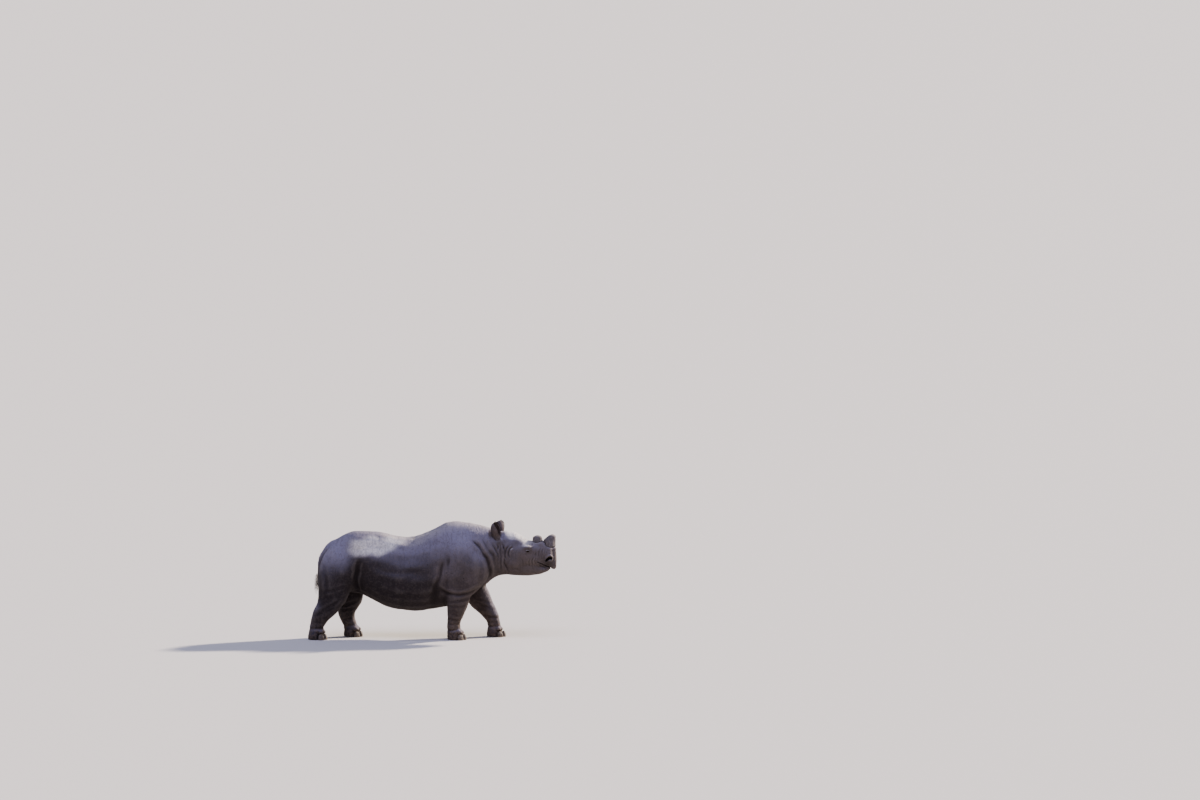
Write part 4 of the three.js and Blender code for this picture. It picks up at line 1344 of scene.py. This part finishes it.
def grow_hair(name, roots, ways, lengths, widths, droop, unwrap):
    """Curved spikes at the roots. The map gives each a small patch at its root's place on the hide."""
    count = len(roots)
    ways = ways / np.linalg.norm(ways, axis=1, keepdims=True)
    across = np.cross(ways, [0.31, 0.92, 0.24])
    across /= np.linalg.norm(across, axis=1, keepdims=True)
    beside = np.cross(ways, across)
    tip = (len(RINGS_OF_HAIR) - 1) * CORNERS
    verts = np.zeros((count, tip + 1, 3))
    for i, (share, size) in enumerate(RINGS_OF_HAIR):
        spine = roots + ways * (lengths * share)[:, None]
        spine[:, 2] -= droop * lengths * share**2
        for k in range(CORNERS if size else 1):
            turn = 2 * math.pi * k / CORNERS
            swing = across * math.cos(turn) + beside * math.sin(turn)
            verts[:, i * CORNERS + k] = spine + swing * (widths * size)[:, None]
    one = [(2, 1, 0)]
    for first in range(0, tip, CORNERS):
        for k in range(CORNERS):
            a, b = first + k, first + (k + 1) % CORNERS
            one.append((a, b, b + CORNERS, a + CORNERS) if first + CORNERS < tip else (a, b, tip))
    faces = [tuple(v + n * (tip + 1) for v in face) for n in range(count) for face in one]
    hair = new_piece(name, verts.reshape(-1, 3), faces)
    hair.data.update()
    share_up = np.repeat([share for share, _ in RINGS_OF_HAIR], CORNERS)[: tip + 1]
    share_round = np.arange(tip + 1) % CORNERS / CORNERS
    local = np.stack([share_round - 0.33, share_up - 0.5], 1) * MAP_PATCH
    per_point = (unwrap[:, None, :] + local[None]).reshape(-1, 2)
    loops = np.zeros(len(hair.data.loops), np.int32)
    hair.data.loops.foreach_get("vertex_index", loops)
    hair.data.uv_layers.new(name="OFBake").data.foreach_set("uv", per_point[loops].astype(np.float32).ravel())
    report(hair)
    return hair


def pick(mask, count, seed):
    """Numbers of points, drawn at random from those of the mask."""
    found = np.flatnonzero(mask)
    return found[np.random.default_rng(seed).integers(0, len(found), count)]


# %% Fringe of the ears
FRINGE_HAIRS = 800  # on each rim
FRINGE_FROM = 0.36  # share of the ear's length where the fringe begins


def make_fringe():
    """Hairs along each rim, from its lower third over the top, that carry on the sheet of the ear."""
    outer, _, out, share = ear_layers()
    rng = np.random.default_rng(12)
    parts = []
    for name, pose in EAR_POSES.items():
        for end, inward in ((0, 1), (-1, -2)):
            row = rng.uniform(np.searchsorted(share, FRINGE_FROM), len(share) - 2, FRINGE_HAIRS)
            low, part = row.astype(int), (row % 1)[:, None]
            rim = outer[low, end] * (1 - part) + outer[low + 1, end] * part
            edge = outer[low, end] - outer[low, inward]
            edge /= np.linalg.norm(edge, axis=1, keepdims=True)
            high = blend_in(share[low], FRINGE_FROM, 0.9)
            way = edge * 0.8 + out[low, end] * 0.55 + [0, 0, 0.45] + rng.normal(0, 0.25, rim.shape)
            around = 0.25 + 0.5 * (pose[0] > 0) + 0.1 * np.sign(end + 0.5)
            around = around + rng.uniform(-0.03, 0.03, len(row))
            unwrap = np.stack([around, 0.05 + 0.8 * share[low]], 1)
            length = (0.005 + 0.012 * high) * rng.uniform(0.45, 1.3, len(row))
            root = in_pose(rim - edge * rng.uniform(0.02, 0.28, (len(row), 1)), pose)
            parts.append((metres(root), in_pose(way, pose, root=False), length, unwrap))
    roots, ways, lengths, unwrap = (np.concatenate(columns) for columns in zip(*parts))
    widths = rng.uniform(0.00022, 0.0004, len(roots))
    return grow_hair("ear_fringe", roots, ways, lengths, widths, 0.12, unwrap)


# %% Bristles of the tail
BRISTLES = 420
BRISTLE_LENGTH = 0.085


def make_bristles():
    points, facing = places(skin), normals(skin)
    x, y, z = canon(points).T
    on_tail = (x < -93.5) & (abs(y) < 3) & (z < 56) & (z > 40)
    chosen = pick(on_tail & (abs(facing[:, 0]) > 0.45), BRISTLES, 21)
    rng = np.random.default_rng(22)
    roots, normal = points[chosen], facing[chosen]
    ways = normal * [0.55, 0.25, 0.2] + np.array([0, 0, -0.8]) + rng.normal(0, 0.08, (len(chosen), 3))
    lengths = BRISTLE_LENGTH * rng.uniform(0.6, 1.25, len(chosen))
    widths = rng.uniform(0.0006, 0.0010, len(chosen))
    around = np.arctan2(facing[chosen, 1], facing[chosen, 0]) / (2 * math.pi)
    unwrap = np.stack([0.5 + 0.9 * around, 0.05 + 0.9 * (z[chosen] - 40) / 16], 1)
    return grow_hair("tail_bristles", roots - normal * 0.001, ways, lengths, widths, 0.12, unwrap)


# %% Lashes
LASH_WIDTH = 0.00028
LASH_ROWS = ((1, 0.011), (-1, 0.006))  # above and below the eye, with their length


def make_lashes():
    rng = np.random.default_rng(31)
    rows = []
    for side in (-1, 1):
        for share in np.linspace(-0.8, 0.8, 34):
            for over, reach in LASH_ROWS:
                if over < 0 and rng.random() < 0.45:
                    continue
                u = ALMOND[0] * share
                v = over * ALMOND[1] * (1 - abs(share) ** ROUNDNESS) ** (1 / ROUNDNESS)
                out = math.sqrt(max(EYE_RADIUS**2 - u * u - v * v, 0)) + 0.3
                x, z = from_almond(u, v)
                root = at(x, side * (EYE[1] - EYE_DEPTH + out), z)
                way = Vector((0.4 * share, side * 1.0, 0.35 * over - 0.3)) + Vector(rng.normal(0, 0.12, 3))
                on_map = (share * 0.2 + 0.5 + 0.25 * side, 0.5 + 0.2 * over)
                rows.append((root, way, reach * rng.uniform(0.7, 1.2), on_map))
    roots, ways, lengths, unwrap = (np.array([np.array(r[i], float) for r in rows]) for i in range(4))
    return grow_hair("lashes", roots, ways, lengths, np.full(len(rows), LASH_WIDTH), -0.25, unwrap)


def make_hair_finish():
    f = Finish("coarse dark bristle", Specular_IOR_Level=0.4)
    shade = f.between(f.patches(f.spot, (6, 6, 12), 2.0), 0.35, 0.65)
    f.join(f.mix(shade, "#17110e", "#40322a"), "Base Color")
    f.join(f.between(shade, 0, 1, 0.42, 0.62), "Roughness")
    return f.material


hair = [make_fringe(), make_bristles(), make_lashes()]
bristle = make_hair_finish()
for piece in hair:
    piece.data.materials.append(bristle)

# %% Hand the pieces over to the frame
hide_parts(*FLESH, "ear_right", "ear_left")
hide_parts("eye_right", "eye_left")
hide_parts("horn_front_stump")
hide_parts("horn_rear_stump")
for limb in LIMBS:
    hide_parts(*(f"nail_{limb}_{i}" for i in (1, 2, 3)))
for piece in (skin, eyes, front_stump, rear_stump, *nails.values(), *hair):
    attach(piece, "root")
